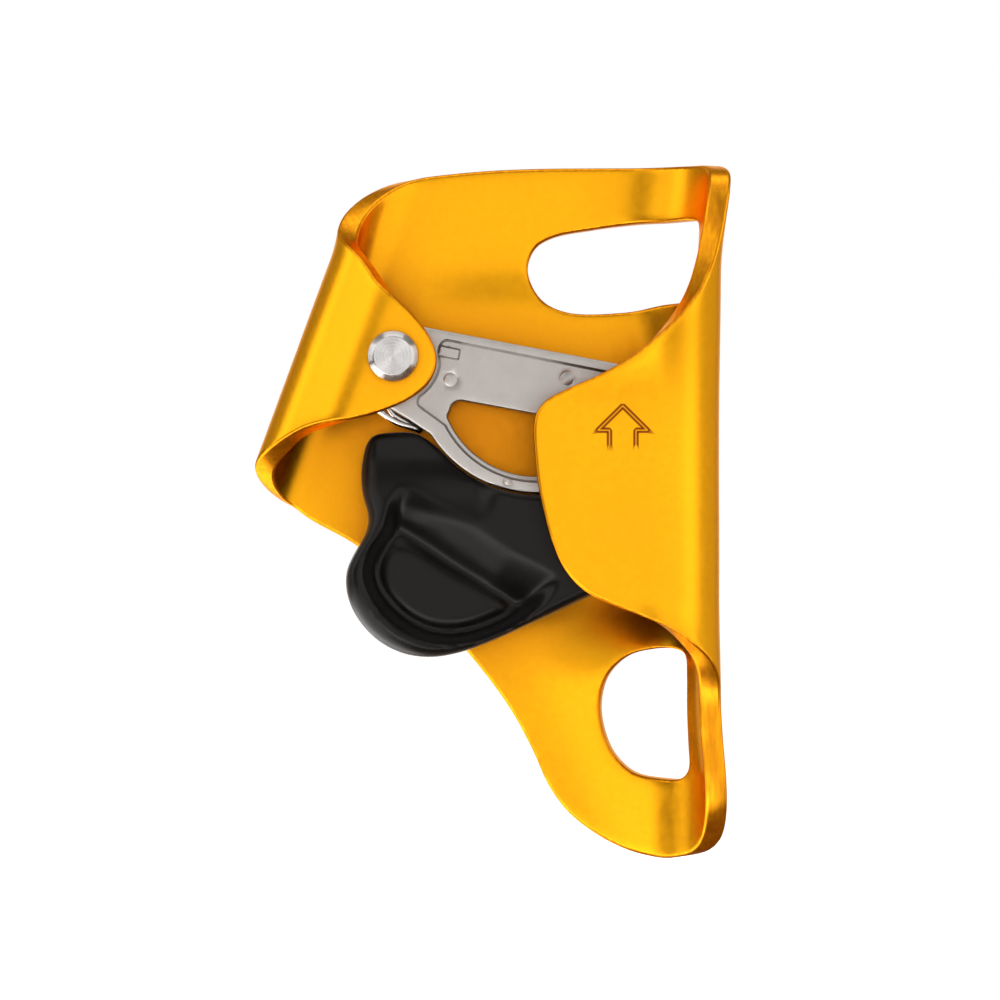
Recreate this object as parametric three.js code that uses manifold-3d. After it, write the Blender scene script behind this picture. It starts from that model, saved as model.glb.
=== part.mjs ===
// Chest ascender: a compact rope clamp worn on the chest.
// Millimetres, +Z up along the rope, front towards -Y, origin in the middle of the lower attachment
// hole, on the middle of the back plate's thickness.
import * as THREE from "three";
import { mergeVertices } from "three/addons/utils/BufferGeometryUtils.js";
import Module from "manifold-3d";

const wasm = await Module();
wasm.setup();

// ---- driving sizes -------------------------------------------------------------------------
const SHEET = 3.3; // thickness of the aluminium frame
const EDGE_BREAK = 0.45; // rounding left by tumbling, drawn as a chamfer
const GAP = 0.3; // clearance between neighbouring pieces

const PIVOT_X = -38.65; // axle of the cam
const PIVOT_Z = 53.7;
const AXLE_RADIUS = 2.5;

const CHANNEL_RADIUS = 8.85; // middle surface of the rope channel
const CHANNEL_WALL_X = 8.4; // middle surface of the channel's right wall
const CHANNEL_LOW = 14; // heights between which the channel keeps one section
const CHANNEL_HIGH = 44;
const LOBE_WIDENING = { size: 3, from: -CHANNEL_LOW, to: 2 }; // below, the rear bend opens out
const HEAD_WIDENING = { size: 6, from: CHANNEL_HIGH, to: 76 }; // and above, over these heights
const LOBE_FLARE = { size: 1.1, from: -4, to: 14 }; // below, the wall leans out
const HEAD_FLARE = { size: 1.7, from: 66, to: 84 }; // and above

const LOBE_TILT = THREE.MathUtils.degToRad(9.5); // forward tilt of the lower lobe
const TILT_HIGH = 18; // height at which the tilt starts
const TILT_LOW = 5; // height at which it is complete
const TILT_MIDDLE_X = -15.2; // where the tilt is made, at the origin's height
const TILT_SLANT = 0.41; // how fast that place moves left with height
const TILT_RUN = 9; // length over which the tilt is made
const TILT_FROM = -26; // nothing on the right side is folded left of this

const CURL_TILT = THREE.MathUtils.degToRad(20.2); // slant of the left curl's axis
const CURL_START = -60.65; // slanted distance at which the curl leaves the plate
const CURL_RADIUS = 6.8;
const CURL_TURN = THREE.MathUtils.degToRad(150);
const CURL_WIDENING = { size: 1.2, from: 48, to: 58 }; // the curl opens out at its upper end
const CURL_SLOPE = 4; // straight stretch between curl and ear
const CREASE_RADIUS = 6;
const CREASE_TURN = THREE.MathUtils.degToRad(30);

const PLATE_FRONT = -SHEET / 2;
const EAR_MIDDLE = -15.5; // depth of the ear's middle surface
const EAR_BACK = EAR_MIDDLE + SHEET / 2;
const EAR_FRONT = EAR_MIDDLE - SHEET / 2;

const BUSH_OUTER = 3.4;
const CAM_REAR = -3.3;
const CAM_FRONT = -12.7;
const CAM_RECESS_DEPTH = 1.6;
const SPRING_FRONT = -6.6; // the cam's hub is cut back to here to make room for its spring
const SPRING_ROOM_RADIUS = 8.4;

const PIN_X = -6; // pin joining catch and cam
const PIN_Z = 29.4;
const PIN_RADIUS = 1.5;
const LUG_REAR = -5.8;
const LUG_FRONT = -9.2;
const CATCH_REAR = -3.1;
const CATCH_FRONT = -14.5;
const CATCH_ROUND = { depth: 2.6, inset: 1.4 }; // rounding of the catch's front edge
const SCOOP_FLOOR = -9.4; // floor of the catch's thumb scoop
const PAD_FRONT = -11.6; // face of the pad that stands in the scoop

// ---- small helpers -------------------------------------------------------------------------
const degrees = THREE.MathUtils.degToRad;

function smooth(value, low, high) {
  return THREE.MathUtils.smoothstep(value, low, high);
}

// How much of a change has been made at a place, when it is spread evenly from one place to another.
function growth({ size, from, to }, place) {
  return size * smooth(place, from, to);
}

function outline(points, perSpan) {
  const corners = points.map(([x, z]) => new THREE.Vector3(x, z, 0));
  const curve = new THREE.CatmullRomCurve3(corners, true, "centripetal");
  return curve.getPoints(points.length * perSpan).slice(0, -1).map((p) => new THREE.Vector2(p.x, p.y));
}

function circlePoints(x, z, radius, count) {
  return Array.from({ length: count }, (_, i) => {
    const angle = (2 * Math.PI * i) / count;
    return new THREE.Vector2(x + radius * Math.cos(angle), z + radius * Math.sin(angle));
  });
}

function arcPoints(x, z, radius, from, to, count) {
  return Array.from({ length: count + 1 }, (_, i) => {
    const angle = degrees(from + ((to - from) * i) / count);
    return [x + radius * Math.cos(angle), z + radius * Math.sin(angle)];
  });
}

function vectors(points) {
  return points.map(([x, z]) => new THREE.Vector2(x, z));
}

// A flat shape drawn in X and Z, made solid between two depths. Its edges can be sloped: over the
// last stretch of depth the outline shrinks by the given amount.
function slab(points, holes, rear, front, slope = { depth: 0, inset: 0 }) {
  const shape = new THREE.Shape(turnedLeft(points));
  shape.holes = holes.map((hole) => new THREE.Path(turnedLeft(hole).reverse()));
  const geometry = new THREE.ExtrudeGeometry(shape, {
    depth: rear - front - 2 * slope.depth,
    bevelEnabled: slope.depth > 0,
    bevelThickness: slope.depth,
    bevelSize: slope.inset,
    bevelOffset: -slope.inset,
    bevelSegments: 1,
  });
  geometry.rotateX(Math.PI / 2);
  geometry.translate(0, rear - slope.depth, 0);
  return geometry;
}

// A shape drawn in X and Y, made solid between two heights.
function uprightPrism(points, low, high) {
  const shape = new THREE.Shape(turnedLeft(vectors(points)));
  const geometry = new THREE.ExtrudeGeometry(shape, { depth: high - low, bevelEnabled: false });
  geometry.translate(0, 0, low);
  return geometry;
}

// A shape drawn in Y and Z, made solid from one X to another.
function crossPrism(points, left, right) {
  const shape = new THREE.Shape(turnedLeft(vectors(points)));
  const geometry = new THREE.ExtrudeGeometry(shape, { depth: right - left, bevelEnabled: false });
  geometry.applyMatrix4(new THREE.Matrix4().set(0, 0, 1, left, 1, 0, 0, 0, 0, 1, 0, 0, 0, 0, 0, 1));
  return geometry;
}

// A turned piece round an axis along Y through (x, z); the profile lists [radius, depth] from the
// rear to the front.
function turned(profile, x, z, count) {
  const points = profile.map(([radius, depth]) => new THREE.Vector2(radius, depth)).reverse();
  const geometry = new THREE.LatheGeometry(points, count);
  geometry.translate(x, 0, z);
  return geometry;
}

// A ring round the axle, with its clearance.
function pivotRing(outer, rear, front) {
  const count = 32;
  const hole = circlePoints(PIVOT_X, PIVOT_Z, AXLE_RADIUS + GAP, count);
  return slab(circlePoints(PIVOT_X, PIVOT_Z, outer, count), [hole], rear, front);
}

function wire(points, radius, stepCount) {
  const path = new THREE.CatmullRomCurve3(points, false, "centripetal");
  const section = new THREE.Shape(circlePoints(0, 0, radius, 8));
  return new THREE.ExtrudeGeometry(section, { steps: stepCount, extrudePath: path });
}

function solid(geometry) {
  const plain = geometry.clone();
  plain.deleteAttribute("normal");
  plain.deleteAttribute("uv");
  const merged = mergeVertices(plain, 1e-4);
  const corners = Array.from(merged.index.array);
  const triVerts = [];
  for (let i = 0; i < corners.length; i += 3) {
    const [a, b, c] = corners.slice(i, i + 3);
    if (a !== b && b !== c && c !== a) triVerts.push(a, b, c);
  }
  const body = new wasm.Mesh({
    numProp: 3,
    vertProperties: new Float32Array(merged.attributes.position.array),
    triVerts: new Uint32Array(triVerts),
  });
  return new wasm.Manifold(body);
}

function geometryOf(body) {
  const mesh = body.getMesh();
  const geometry = new THREE.BufferGeometry();
  geometry.setAttribute("position", new THREE.BufferAttribute(new Float32Array(mesh.vertProperties), 3));
  geometry.setIndex(new THREE.BufferAttribute(new Uint32Array(mesh.triVerts), 1));
  const flat = geometry.toNonIndexed();
  flat.computeVertexNormals();
  return flat;
}

function cut(geometry, ...tools) {
  return geometryOf(tools.reduce((body, tool) => body.subtract(solid(tool)), solid(geometry)));
}

function join(geometry, ...others) {
  return geometryOf(others.reduce((body, other) => body.add(solid(other)), solid(geometry)));
}

// ---- how the flat blank is folded ------------------------------------------------------------
// A fold is a chain of stretches, each with a length and the angle it turns through. Walking along
// it gives how far across and how far forward the middle surface has come, and its heading.
function walk(stretches, distance) {
  let across = 0;
  let forward = 0;
  let heading = 0;
  let left = distance;
  for (const [length, turn] of stretches) {
    const part = Math.min(left, length);
    const bend = length > 0 ? (turn * part) / length : 0;
    if (Math.abs(bend) < 1e-9) {
      across += part * Math.cos(heading);
      forward += part * Math.sin(heading);
    } else {
      const radius = part / bend;
      across += radius * (Math.sin(heading + bend) - Math.sin(heading));
      forward += radius * (Math.cos(heading) - Math.cos(heading + bend));
    }
    heading += bend;
    left -= part;
    if (left <= 0) break;
  }
  return { across, forward, heading };
}

// The right side: plate, gentle forward tilt of the lower lobe, rope channel, flap.
function channelSizes(z) {
  const radius = CHANNEL_RADIUS + growth(LOBE_WIDENING, -z) + growth(HEAD_WIDENING, z);
  const wall = CHANNEL_WALL_X + growth(LOBE_FLARE, -z) + growth(HEAD_FLARE, z);
  const tilt = LOBE_TILT * smooth(-z, -TILT_HIGH, -TILT_LOW);
  const tiltMiddle = TILT_MIDDLE_X - TILT_SLANT * Math.min(z, CHANNEL_LOW);
  return { radius, wall, tilt, tiltMiddle };
}

function channelStretches(z) {
  const { radius, wall, tilt, tiltMiddle } = channelSizes(z);
  const before = tiltMiddle - TILT_RUN / 2 - TILT_FROM;
  const opening = [[before, 0], [TILT_RUN, tilt]];
  const reached = TILT_FROM + walk(opening, before + TILT_RUN).across;
  const gap = (wall - radius * (1 - Math.sin(tilt)) - reached) / Math.cos(tilt);
  const rearBend = Math.PI / 2 - tilt;
  const frontBend = Math.PI / 2;
  return [
    ...opening,
    [gap, 0],
    [radius * rearBend, rearBend],
    [CHANNEL_RADIUS * frontBend, frontBend],
    [Infinity, 0],
  ];
}

// Blank positions named by where they end up after folding.
function onBend(heading, z) {
  const [first, second, third] = channelStretches(z);
  const { radius, tilt } = channelSizes(z);
  const rearBend = degrees(Math.min(heading, 90)) - tilt;
  const frontBend = degrees(Math.max(heading - 90, 0));
  const run = first[0] + second[0] + third[0] + radius * rearBend + CHANNEL_RADIUS * frontBend;
  return [TILT_FROM + run, z];
}

function onFlap(x, z) {
  const [turnEnd] = onBend(180, z);
  const { wall } = channelSizes(z);
  return [turnEnd + wall - CHANNEL_RADIUS - x, z];
}

// The left side: slanted curl, short slope, crease, flat ear.
function curlStretches(along) {
  const radius = CURL_RADIUS + growth(CURL_WIDENING, along);
  return [
    [radius * CURL_TURN, CURL_TURN],
    [CURL_SLOPE, 0],
    [CREASE_RADIUS * CREASE_TURN, CREASE_TURN],
    [Infinity, 0],
  ];
}

const tiltCos = Math.cos(CURL_TILT);
const tiltSin = Math.sin(CURL_TILT);

function slanted(x, z) {
  return { across: tiltCos * x - tiltSin * z, along: tiltSin * x + tiltCos * z };
}

function upright(across, along) {
  return [tiltCos * across + tiltSin * along, tiltCos * along - tiltSin * across];
}

function onCurl(run, along) {
  return upright(CURL_START - run, along);
}

function onEar(x, z) {
  const { across, along } = slanted(x, z);
  const stretches = curlStretches(along);
  const crease = stretches[0][0] + stretches[1][0] + stretches[2][0];
  const creaseEnd = CURL_START - walk(stretches, crease).across;
  return onCurl(crease + across - creaseEnd, along);
}

// Moves a point of the flat blank (x, z, distance in front of the middle surface) to its place.
function fold(x, z, lift) {
  const slant = slanted(x, z);
  if (slant.across < CURL_START) {
    const { across, forward, heading } = walk(curlStretches(slant.along), CURL_START - slant.across);
    const folded = CURL_START - across + lift * Math.sin(heading);
    const [px, pz] = upright(folded, slant.along);
    return new THREE.Vector3(px, -forward - lift * Math.cos(heading), pz);
  }
  if (x > TILT_FROM) {
    const { across, forward, heading } = walk(channelStretches(z), x - TILT_FROM);
    return new THREE.Vector3(
      TILT_FROM + across - lift * Math.sin(heading),
      -forward - lift * Math.cos(heading),
      z,
    );
  }
  return new THREE.Vector3(x, -lift, z);
}

// ---- frame -----------------------------------------------------------------------------------
function frameBorder() {
  return outline([
    [-26, 82.3], [-17.7, 82.7], [-8, 82.8], [-1, 82.8], onBend(25, 82.8), onBend(50, 82.7),
    onBend(72, 82.3), onBend(86, 80.8), onBend(94, 78), onBend(101, 74), onBend(114, 69),
    onBend(133, 64.4), onBend(152, 60.6), onBend(171, 57.4), onFlap(-2.6, 54.2), onFlap(-8, 51),
    onFlap(-13.4, 48.6), onFlap(-16.3, 46.9), onFlap(-17.7, 44.6), onFlap(-17.6, 38.2),
    onFlap(-16.8, 32.6), onFlap(-14.9, 25.5), onFlap(-13, 21.7), onFlap(-10, 18.8),
    onFlap(-5.8, 16.8), onFlap(-1.6, 15.2), onBend(166, 13.6), onBend(142, 10.9),
    onBend(122, 8.6), onBend(104, 5.8), onBend(94, 2.6), onBend(89, -3), onBend(88, -9),
    onBend(84, -14.2), onBend(74, -17.9), onBend(58, -20.3), onBend(38, -21.5), [2.2, -21.8],
    [-3.2, -20.7], [-8.1, -18.3], [-12.4, -15], [-15.4, -11], [-18, -5.3], [-21.6, 1.2],
    [-28, 9.6], [-36, 18.2], [-44.3, 25.3], [-51.7, 29.5], onCurl(0.8, 10.6), onCurl(3.3, 11.1),
    onCurl(6.6, 12.4), onCurl(10.7, 14.7), onCurl(14.7, 17.8), onCurl(19, 22.3),
    onCurl(24.9, 26), onEar(-40.6, 45.5), onEar(-36.2, 47.4), onEar(-33.4, 49.7),
    onEar(-32.2, 52.9), onEar(-33.2, 56.5), onEar(-36, 60.2), onCurl(23, 46.3),
    onCurl(17.8, 49.5), onCurl(12.6, 52), onCurl(9.6, 55.4), onCurl(6.6, 59), onCurl(3.4, 62.1),
    [-35.6, 81.2],
  ], 2);
}

function upperHole() {
  return outline([
    [-18.6, 67.2], [-17.5, 70.6], [-14.8, 72.3], [-8.6, 73.5], [-2, 74.3], onBend(30, 74.4),
    onBend(58, 74.4), onBend(72, 73.6), onBend(77, 71), onBend(77, 66.6), onBend(71, 63.6),
    onBend(56, 62.4), onBend(30, 61.9), [-3.7, 60.9], [-12.6, 60.9], [-16.6, 62.9],
  ], 2);
}

function lowerHole() {
  return outline([
    [-7.4, 1.8], [-6.2, 5.9], [-3.2, 8.8], [0.8, 9.9], onBend(36, 9.9), onBend(50, 9),
    onBend(54, 6), onBend(54, -4.5), onBend(52, -7.8), onBend(42, -9.5), [1.6, -9.7],
    [-2.4, -8.8], [-5.4, -6], [-7, -2.2],
  ], 2);
}

// ---- meshing the blank so that it can follow the folds ---------------------------------------
// Lines of the blank along which its faces are divided, each as a x + b z = c.
function foldLines() {
  const across = [-21.93, -16.07, -11.03];
  for (let x = -6.07; x < 28; x += 2.84) across.push(x);
  const level = [
    -15.87, -9.77, -3.57, 1.23, 5.03, 7.87, 10.63, 13.13, 15.33, 18.13,
    44.07, 49.93, 55.87, 61.07, 66.13, 70.23, 75.17, 79.37,
  ];
  const runs = [0.03, 2.61, 5.19, 7.77, 10.35, 12.93, 15.51, 17.83, 21.81, 23.37, 24.97];
  return [
    ...across.map((x) => [1, 0, x]),
    ...level.map((z) => [0, 1, z]),
    ...runs.map((run) => [tiltCos, -tiltSin, CURL_START - run]),
  ];
}

// Cuts one face (an outer ring and its holes, interior on the left) in two along a line. Corners are
// numbers into the list of points; new corners are shared with the neighbouring faces by their edge.
function cutFace(rings, points, made, [a, b, c]) {
  const side = (corner) => a * points[corner][0] + b * points[corner][1] - c;
  const sign = (corner) => (Math.abs(side(corner)) < 1e-7 ? 0 : Math.sign(side(corner)));
  const along = (corner) => b * points[corner][0] - a * points[corner][1];
  const crossings = [];
  const split = rings.map((ring) => ring.flatMap((from, i) => {
    const to = ring[(i + 1) % ring.length];
    const before = ring[(i + ring.length - 1) % ring.length];
    if (sign(from) === 0 && sign(before) * sign(to) < 0) crossings.push(from);
    if (sign(from) * sign(to) >= 0) return [from];
    const edge = from < to ? `${from} ${to}` : `${to} ${from}`;
    if (!made.has(edge)) {
      const share = side(from) / (side(from) - side(to));
      made.set(edge, points.length);
      points.push(points[from].map((value, k) => value + share * (points[to][k] - value)));
    }
    crossings.push(made.get(edge));
    return [from, made.get(edge)];
  }));
  if (crossings.length === 0) return [rings];
  crossings.sort((p, q) => along(p) - along(q));
  const partner = new Map();
  for (let i = 0; i < crossings.length; i += 2) {
    partner.set(crossings[i], crossings[i + 1]);
    partner.set(crossings[i + 1], crossings[i]);
  }
  const next = new Map();
  split.forEach((ring) => ring.forEach((corner, i) => next.set(corner, ring[(i + 1) % ring.length])));
  const pieces = [];
  const used = new Set();
  for (const start of crossings) {
    if (used.has(start)) continue;
    const piece = [];
    let corner = start;
    do {
      used.add(corner);
      piece.push(corner);
      corner = next.get(corner);
      while (!partner.has(corner)) {
        piece.push(corner);
        corner = next.get(corner);
      }
      piece.push(corner);
      corner = partner.get(corner);
    } while (corner !== start);
    pieces.push([piece]);
  }
  const whole = split.filter((ring) => !ring.some((corner) => partner.has(corner)));
  whole.forEach((hole) => pieces.find(([ring]) => holds(ring, points[hole[0]], points)).push(hole));
  return pieces;
}

function holds(ring, [x, z], points) {
  let inside = false;
  ring.forEach((corner, i) => {
    const [ax, az] = points[corner];
    const [bx, bz] = points[ring[(i + 1) % ring.length]];
    if (az > z !== bz > z && x < ax + ((z - az) / (bz - az)) * (bx - ax)) inside = !inside;
  });
  return inside;
}

// Puts a corner on every place where a ring crosses a line of the fold.
function withCrossings(ring, lines) {
  return ring.flatMap((from, i) => {
    const to = ring[(i + 1) % ring.length];
    const shares = [0];
    for (const [a, b, c] of lines) {
      const start = a * from[0] + b * from[1] - c;
      const end = a * to[0] + b * to[1] - c;
      if (start > 0 !== end > 0) shares.push(start / (start - end));
    }
    shares.sort((p, q) => p - q);
    return shares.map((share) => [from[0] + share * (to[0] - from[0]), from[1] + share * (to[1] - from[1])]);
  });
}

// Each corner of a ring moved into the material by the edge break.
function insetRing(ring) {
  return ring.map(([x, z], i) => {
    const [ax, az] = ring[(i + ring.length - 1) % ring.length];
    const [bx, bz] = ring[(i + 1) % ring.length];
    const length = Math.hypot(bx - ax, bz - az);
    return [x - (EDGE_BREAK * (bz - az)) / length, z + (EDGE_BREAK * (bx - ax)) / length];
  });
}

function turnedLeft(points) {
  return THREE.ShapeUtils.isClockWise(points) ? points.reverse() : points;
}

function foldedFrame() {
  const border = turnedLeft(frameBorder());
  const holes = [upperHole(), lowerHole()].map((hole) => turnedLeft(hole).reverse());
  const lines = foldLines();
  const rings = [border, ...holes].map((ring) => withCrossings(ring.map((p) => [p.x, p.y]), lines));
  const points = rings.flat();
  const inset = rings.flatMap(insetRing);
  let number = 0;
  const numbered = rings.map((ring) => ring.map(() => number++));
  let faces = [numbered];
  for (const line of lines) {
    const made = new Map();
    faces = faces.flatMap((face) => cutFace(face, points, made, line));
  }
  const half = SHEET / 2;
  const flat = half - EDGE_BREAK;
  const corner = (list, lift) => (i) => fold(...(list[i] || points[i]), lift);
  const front = corner(inset, half);
  const frontEdge = corner(points, flat);
  const rearEdge = corner(points, -flat);
  const rear = corner(inset, -half);
  const triangles = [];
  for (const [outer, ...inner] of faces) {
    const corners = [outer, ...inner].flat();
    const place = (ring) => ring.map((i) => new THREE.Vector2(...points[i]));
    for (const face of THREE.ShapeUtils.triangulateShape(place(outer), inner.map(place))) {
      const [p, q, r] = face.map((i) => corners[i]);
      triangles.push(front(p), front(q), front(r), rear(r), rear(q), rear(p));
    }
  }
  for (const ring of numbered) {
    ring.forEach((from, i) => {
      const to = ring[(i + 1) % ring.length];
      for (const [high, low] of [[front, frontEdge], [frontEdge, rearEdge], [rearEdge, rear]]) {
        triangles.push(high(to), high(from), low(from), high(to), low(from), low(to));
      }
    });
  }
  return new THREE.BufferGeometry().setFromPoints(triangles);
}

function frame() {
  const hole = AXLE_RADIUS + GAP;
  const countersink = [[5, 4], [5, 2.05], [hole, -0.15]];
  const bore = turned([[0, 4], ...countersink, [hole, -20], [0, -20]], PIVOT_X, PIVOT_Z, 32);
  return cut(foldedFrame(), bore);
}

// ---- wear plate --------------------------------------------------------------------------------
const LINER_SHEET = 0.8;
const LINER_LOW = 21;
const LINER_HIGH = 43;
const LINER_LEG_END = -8; // how far left its two legs reach

function wearPlate() {
  const outer = CHANNEL_RADIUS - SHEET / 2 - GAP;
  const inner = outer - LINER_SHEET;
  const centreX = CHANNEL_WALL_X - CHANNEL_RADIUS;
  const section = [
    [LINER_LEG_END, -CHANNEL_RADIUS + outer],
    ...arcPoints(centreX, -CHANNEL_RADIUS, outer, 90, -90, 14),
    [LINER_LEG_END, -CHANNEL_RADIUS - outer],
    [LINER_LEG_END, -CHANNEL_RADIUS - inner],
    ...arcPoints(centreX, -CHANNEL_RADIUS, inner, -90, 90, 14),
    [LINER_LEG_END, -CHANNEL_RADIUS + inner],
  ];
  return uprightPrism(section, LINER_LOW, LINER_HIGH);
}

// ---- axle, bush and washers ----------------------------------------------------------------------
const HEAD_RADIUS = 3.75; // the rivet's round front head
const HEAD_HEIGHT = 1.4;
const HEAD_BEVEL = 0.65;
const PEEN_RADIUS = 3.9; // the rivet's rear end, spread into the countersink in the frame
const PEEN_REAR = 1.5;
const REAR_WASHER_RADIUS = 5.4;
const FRONT_WASHER_RADIUS = 4;
const WASHER_FRONT = -2.75;

function axleRivet() {
  const seat = EAR_FRONT - 0.25;
  return turned([
    [0, PEEN_REAR], [PEEN_RADIUS, PEEN_REAR], [PEEN_RADIUS, PEEN_REAR - 0.15], [AXLE_RADIUS, -0.15],
    [AXLE_RADIUS, seat], [HEAD_RADIUS - 0.15, seat], [HEAD_RADIUS, seat - 0.2],
    [HEAD_RADIUS - 0.05, seat - HEAD_HEIGHT / 2], [HEAD_RADIUS - HEAD_BEVEL, seat - HEAD_HEIGHT],
    [0, seat - HEAD_HEIGHT],
  ], PIVOT_X, PIVOT_Z, 40);
}

function camBush() {
  return pivotRing(BUSH_OUTER, WASHER_FRONT - GAP, CAM_FRONT + 0.1);
}

function rearWasher() {
  return pivotRing(REAR_WASHER_RADIUS, PLATE_FRONT - GAP, WASHER_FRONT);
}

function frontWasher() {
  return pivotRing(FRONT_WASHER_RADIUS, CAM_FRONT - 0.25, EAR_BACK + GAP);
}

// ---- cam -----------------------------------------------------------------------------------------
const RIM_X = -17.3; // middle of the round lower rim
const RIM_Z = 52;
const RIM_RADIUS = 18.6;
const WINDOW_Z = 50.5;
const WINDOW_RADIUS = 14.6;
const TOOTH_COUNT = 9;
const TOOTH_DEPTH = 0.8;
const GRIP_FROM = -3.8; // directions from the axle between which the gripping face lies, in degrees
const GRIP_TO = -23.2;
const GRIP_RADIUS = 43.4;
const GRIP_GROWTH = 1.9;
const TAPER_FROM_X = -4; // the cam grows thinner from here to here, to go into the channel
const TAPER_TO_X = 3;
const TAPER_REAR = -6.1;
const TAPER_FRONT = -11.6;
const TAPER_LOW = 34.9;
const SLOT_REAR = -6.9; // the slot through the gripping face that lets mud out
const SLOT_FRONT = -9.1;

// The gripping face: its distance from the axle grows downwards, so that it tightens when dragged up.
function grippingFace() {
  const points = [];
  for (let i = 0; i <= 2 * TOOTH_COUNT; i += 1) {
    const share = i / (2 * TOOTH_COUNT);
    const angle = degrees(GRIP_FROM + (GRIP_TO - GRIP_FROM) * share);
    const radius = GRIP_RADIUS + GRIP_GROWTH * share - (i % 2 ? TOOTH_DEPTH : 0);
    points.push([PIVOT_X + radius * Math.cos(angle), PIVOT_Z + radius * Math.sin(angle)]);
  }
  return points;
}

function camBorder() {
  return vectors([
    ...arcPoints(PIVOT_X, PIVOT_Z, 5.3, 190, 79, 10),
    ...grippingFace(),
    [1.6, 35.5], [-10.9, 34.6],
    ...arcPoints(RIM_X, RIM_Z, RIM_RADIUS, -75, -148, 12),
    [-36, 44.1], [-39.1, 46], [-41.6, 47.8], [-43.2, 50],
  ]);
}

function camWindow() {
  return vectors([
    [-28.9, 47.4], [-30.1, 46.8], [-30.4, 45.6],
    ...arcPoints(RIM_X, WINDOW_Z, WINDOW_RADIUS, -158, -62, 12),
    [-9.2, 39.2], [-8.6, 41.6], [-9.6, 43.3], [-11.2, 44.1],
  ]);
}

function camRecess() {
  return vectors([
    [-31.2, 56.4], [-32.2, 54.9],
    ...arcPoints(PIVOT_X, PIVOT_Z, 6.9, -8, -58, 6),
    [-35.3, 46.6], [-31, 43.5],
    ...arcPoints(RIM_X, WINDOW_Z, WINDOW_RADIUS + 0.8, -152, -62, 10),
    [-6.6, 38.6], [-5.6, 41], [-5.2, 50.2], [-6.4, 51.5],
  ]);
}

function catchLug() {
  return slab(
    vectors([[-14, 35.4], [-11.2, 28], ...arcPoints(PIN_X, PIN_Z, 4.2, 200, 340, 8), [-0.9, 33], [0, 36.2]]),
    [],
    LUG_REAR,
    LUG_FRONT,
  );
}

// What is taken off one side of the gripping end, from a face of the cam to a thinner one.
function taper(face, thinner, outside) {
  const edge = 9;
  return uprightPrism(
    [[TAPER_FROM_X, face], [TAPER_TO_X, thinner], [edge, thinner], [edge, outside], [TAPER_FROM_X, outside]],
    TAPER_LOW,
    60,
  );
}

function cam() {
  const body = slab(camBorder(), [camWindow()], CAM_REAR, CAM_FRONT);
  const recessFloor = CAM_FRONT + CAM_RECESS_DEPTH;
  const recess = slab(camRecess(), [], recessFloor, CAM_FRONT - 1);
  const springRoom = slab(circlePoints(PIVOT_X, PIVOT_Z, SPRING_ROOM_RADIUS, 24), [], 0, SPRING_FRONT);
  const bore = slab(circlePoints(PIVOT_X, PIVOT_Z, BUSH_OUTER + GAP, 32), [], 0, -20);
  const pinHole = slab(circlePoints(PIN_X, PIN_Z, PIN_RADIUS + GAP, 20), [], 0, -20);
  const slot = slab(vectors([[0, 40], [9, 40], [9, 47], [0, 47]]), [], SLOT_REAR, SLOT_FRONT);
  const bossOutline = vectors([[-32.1, 53.9], [-29, 53.3], [-28.7, 54.9], [-31.8, 55.5]]);
  const boss = slab(bossOutline, [], recessFloor + 1.1, recessFloor - 0.5);
  const rearTaper = taper(CAM_REAR, TAPER_REAR, 0);
  const frontTaper = taper(CAM_FRONT, TAPER_FRONT, -16);
  const castBody = join(cut(body, recess, rearTaper, frontTaper), catchLug(), boss);
  return cut(castBody, springRoom, bore, pinHole, slot);
}

// ---- catch ---------------------------------------------------------------------------------------
function catchBorder() {
  return vectors([
    [-40, 42.5], [-41.8, 42.2], [-42.9, 41], [-43.8, 36.5], [-43.5, 32.9], [-42.6, 29.8], [-42.9, 27.6],
    [-44.6, 24.6], [-45.9, 21.6], [-45.8, 18], [-44.3, 14.6], [-41.4, 11.4], [-37.6, 9.4],
    [-33.6, 8.8], [-29.8, 9.3], [-25.4, 10.7], [-17.8, 14], [-9.4, 18], [-4.4, 20.6], [-1.4, 23.6],
    ...arcPoints(PIN_X, PIN_Z, 4.8, -28, 118, 10),
    [-11.8, 32.6],
    ...arcPoints(RIM_X, RIM_Z, RIM_RADIUS + 0.9, -82, -140, 10),
    [-33.9, 41.6], [-35.6, 42.5],
  ]);
}

function catchScoop() {
  return vectors([
    [-37.5, 34], [-39.2, 31], [-38.8, 27.5], [-40.4, 24.6], [-41.8, 21.4], [-41.2, 18.4], [-38.6, 15.2],
    [-35, 12.9], [-30.6, 12.4], [-24, 14], [-16.6, 17], [-15, 19.6], [-16.4, 22], [-26, 29],
  ]);
}

function catchPad() {
  return vectors([
    [-38.2, 25.2], [-39.8, 22.6], [-39.2, 19.4], [-36.6, 15.8], [-32, 14], [-24, 15.4], [-22.8, 17],
    [-31.8, 23.6],
  ]);
}

function safetyCatch() {
  const body = slab(catchBorder(), [], CATCH_REAR, CATCH_FRONT, CATCH_ROUND);
  const heel = crossPrism([[-16, 29], [CATCH_FRONT, 29], [-10.6, 38], [-10.6, 44], [-16, 44]], -48, -24);
  const scoop = slab(catchScoop(), [], SCOOP_FLOOR, -20);
  const pad = slab(catchPad(), [], SCOOP_FLOOR + 0.4, PAD_FRONT);
  const lugRoom = slab(
    vectors([[-16, 34.6], [-13.2, 26.5], [-10, 22.4], [-3, 21.4], [3, 24], [3, 40], [-12, 40]]),
    [],
    LUG_REAR + GAP,
    -12.1,
  );
  const pinHole = slab(circlePoints(PIN_X, PIN_Z, PIN_RADIUS + GAP, 20), [], -3.1, -13.6);
  return cut(join(cut(body, heel, scoop), pad), lugRoom, pinHole);
}

function catchPin() {
  return slab(circlePoints(PIN_X, PIN_Z, PIN_RADIUS, 20), [], -3.4, -13.3);
}

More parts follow.
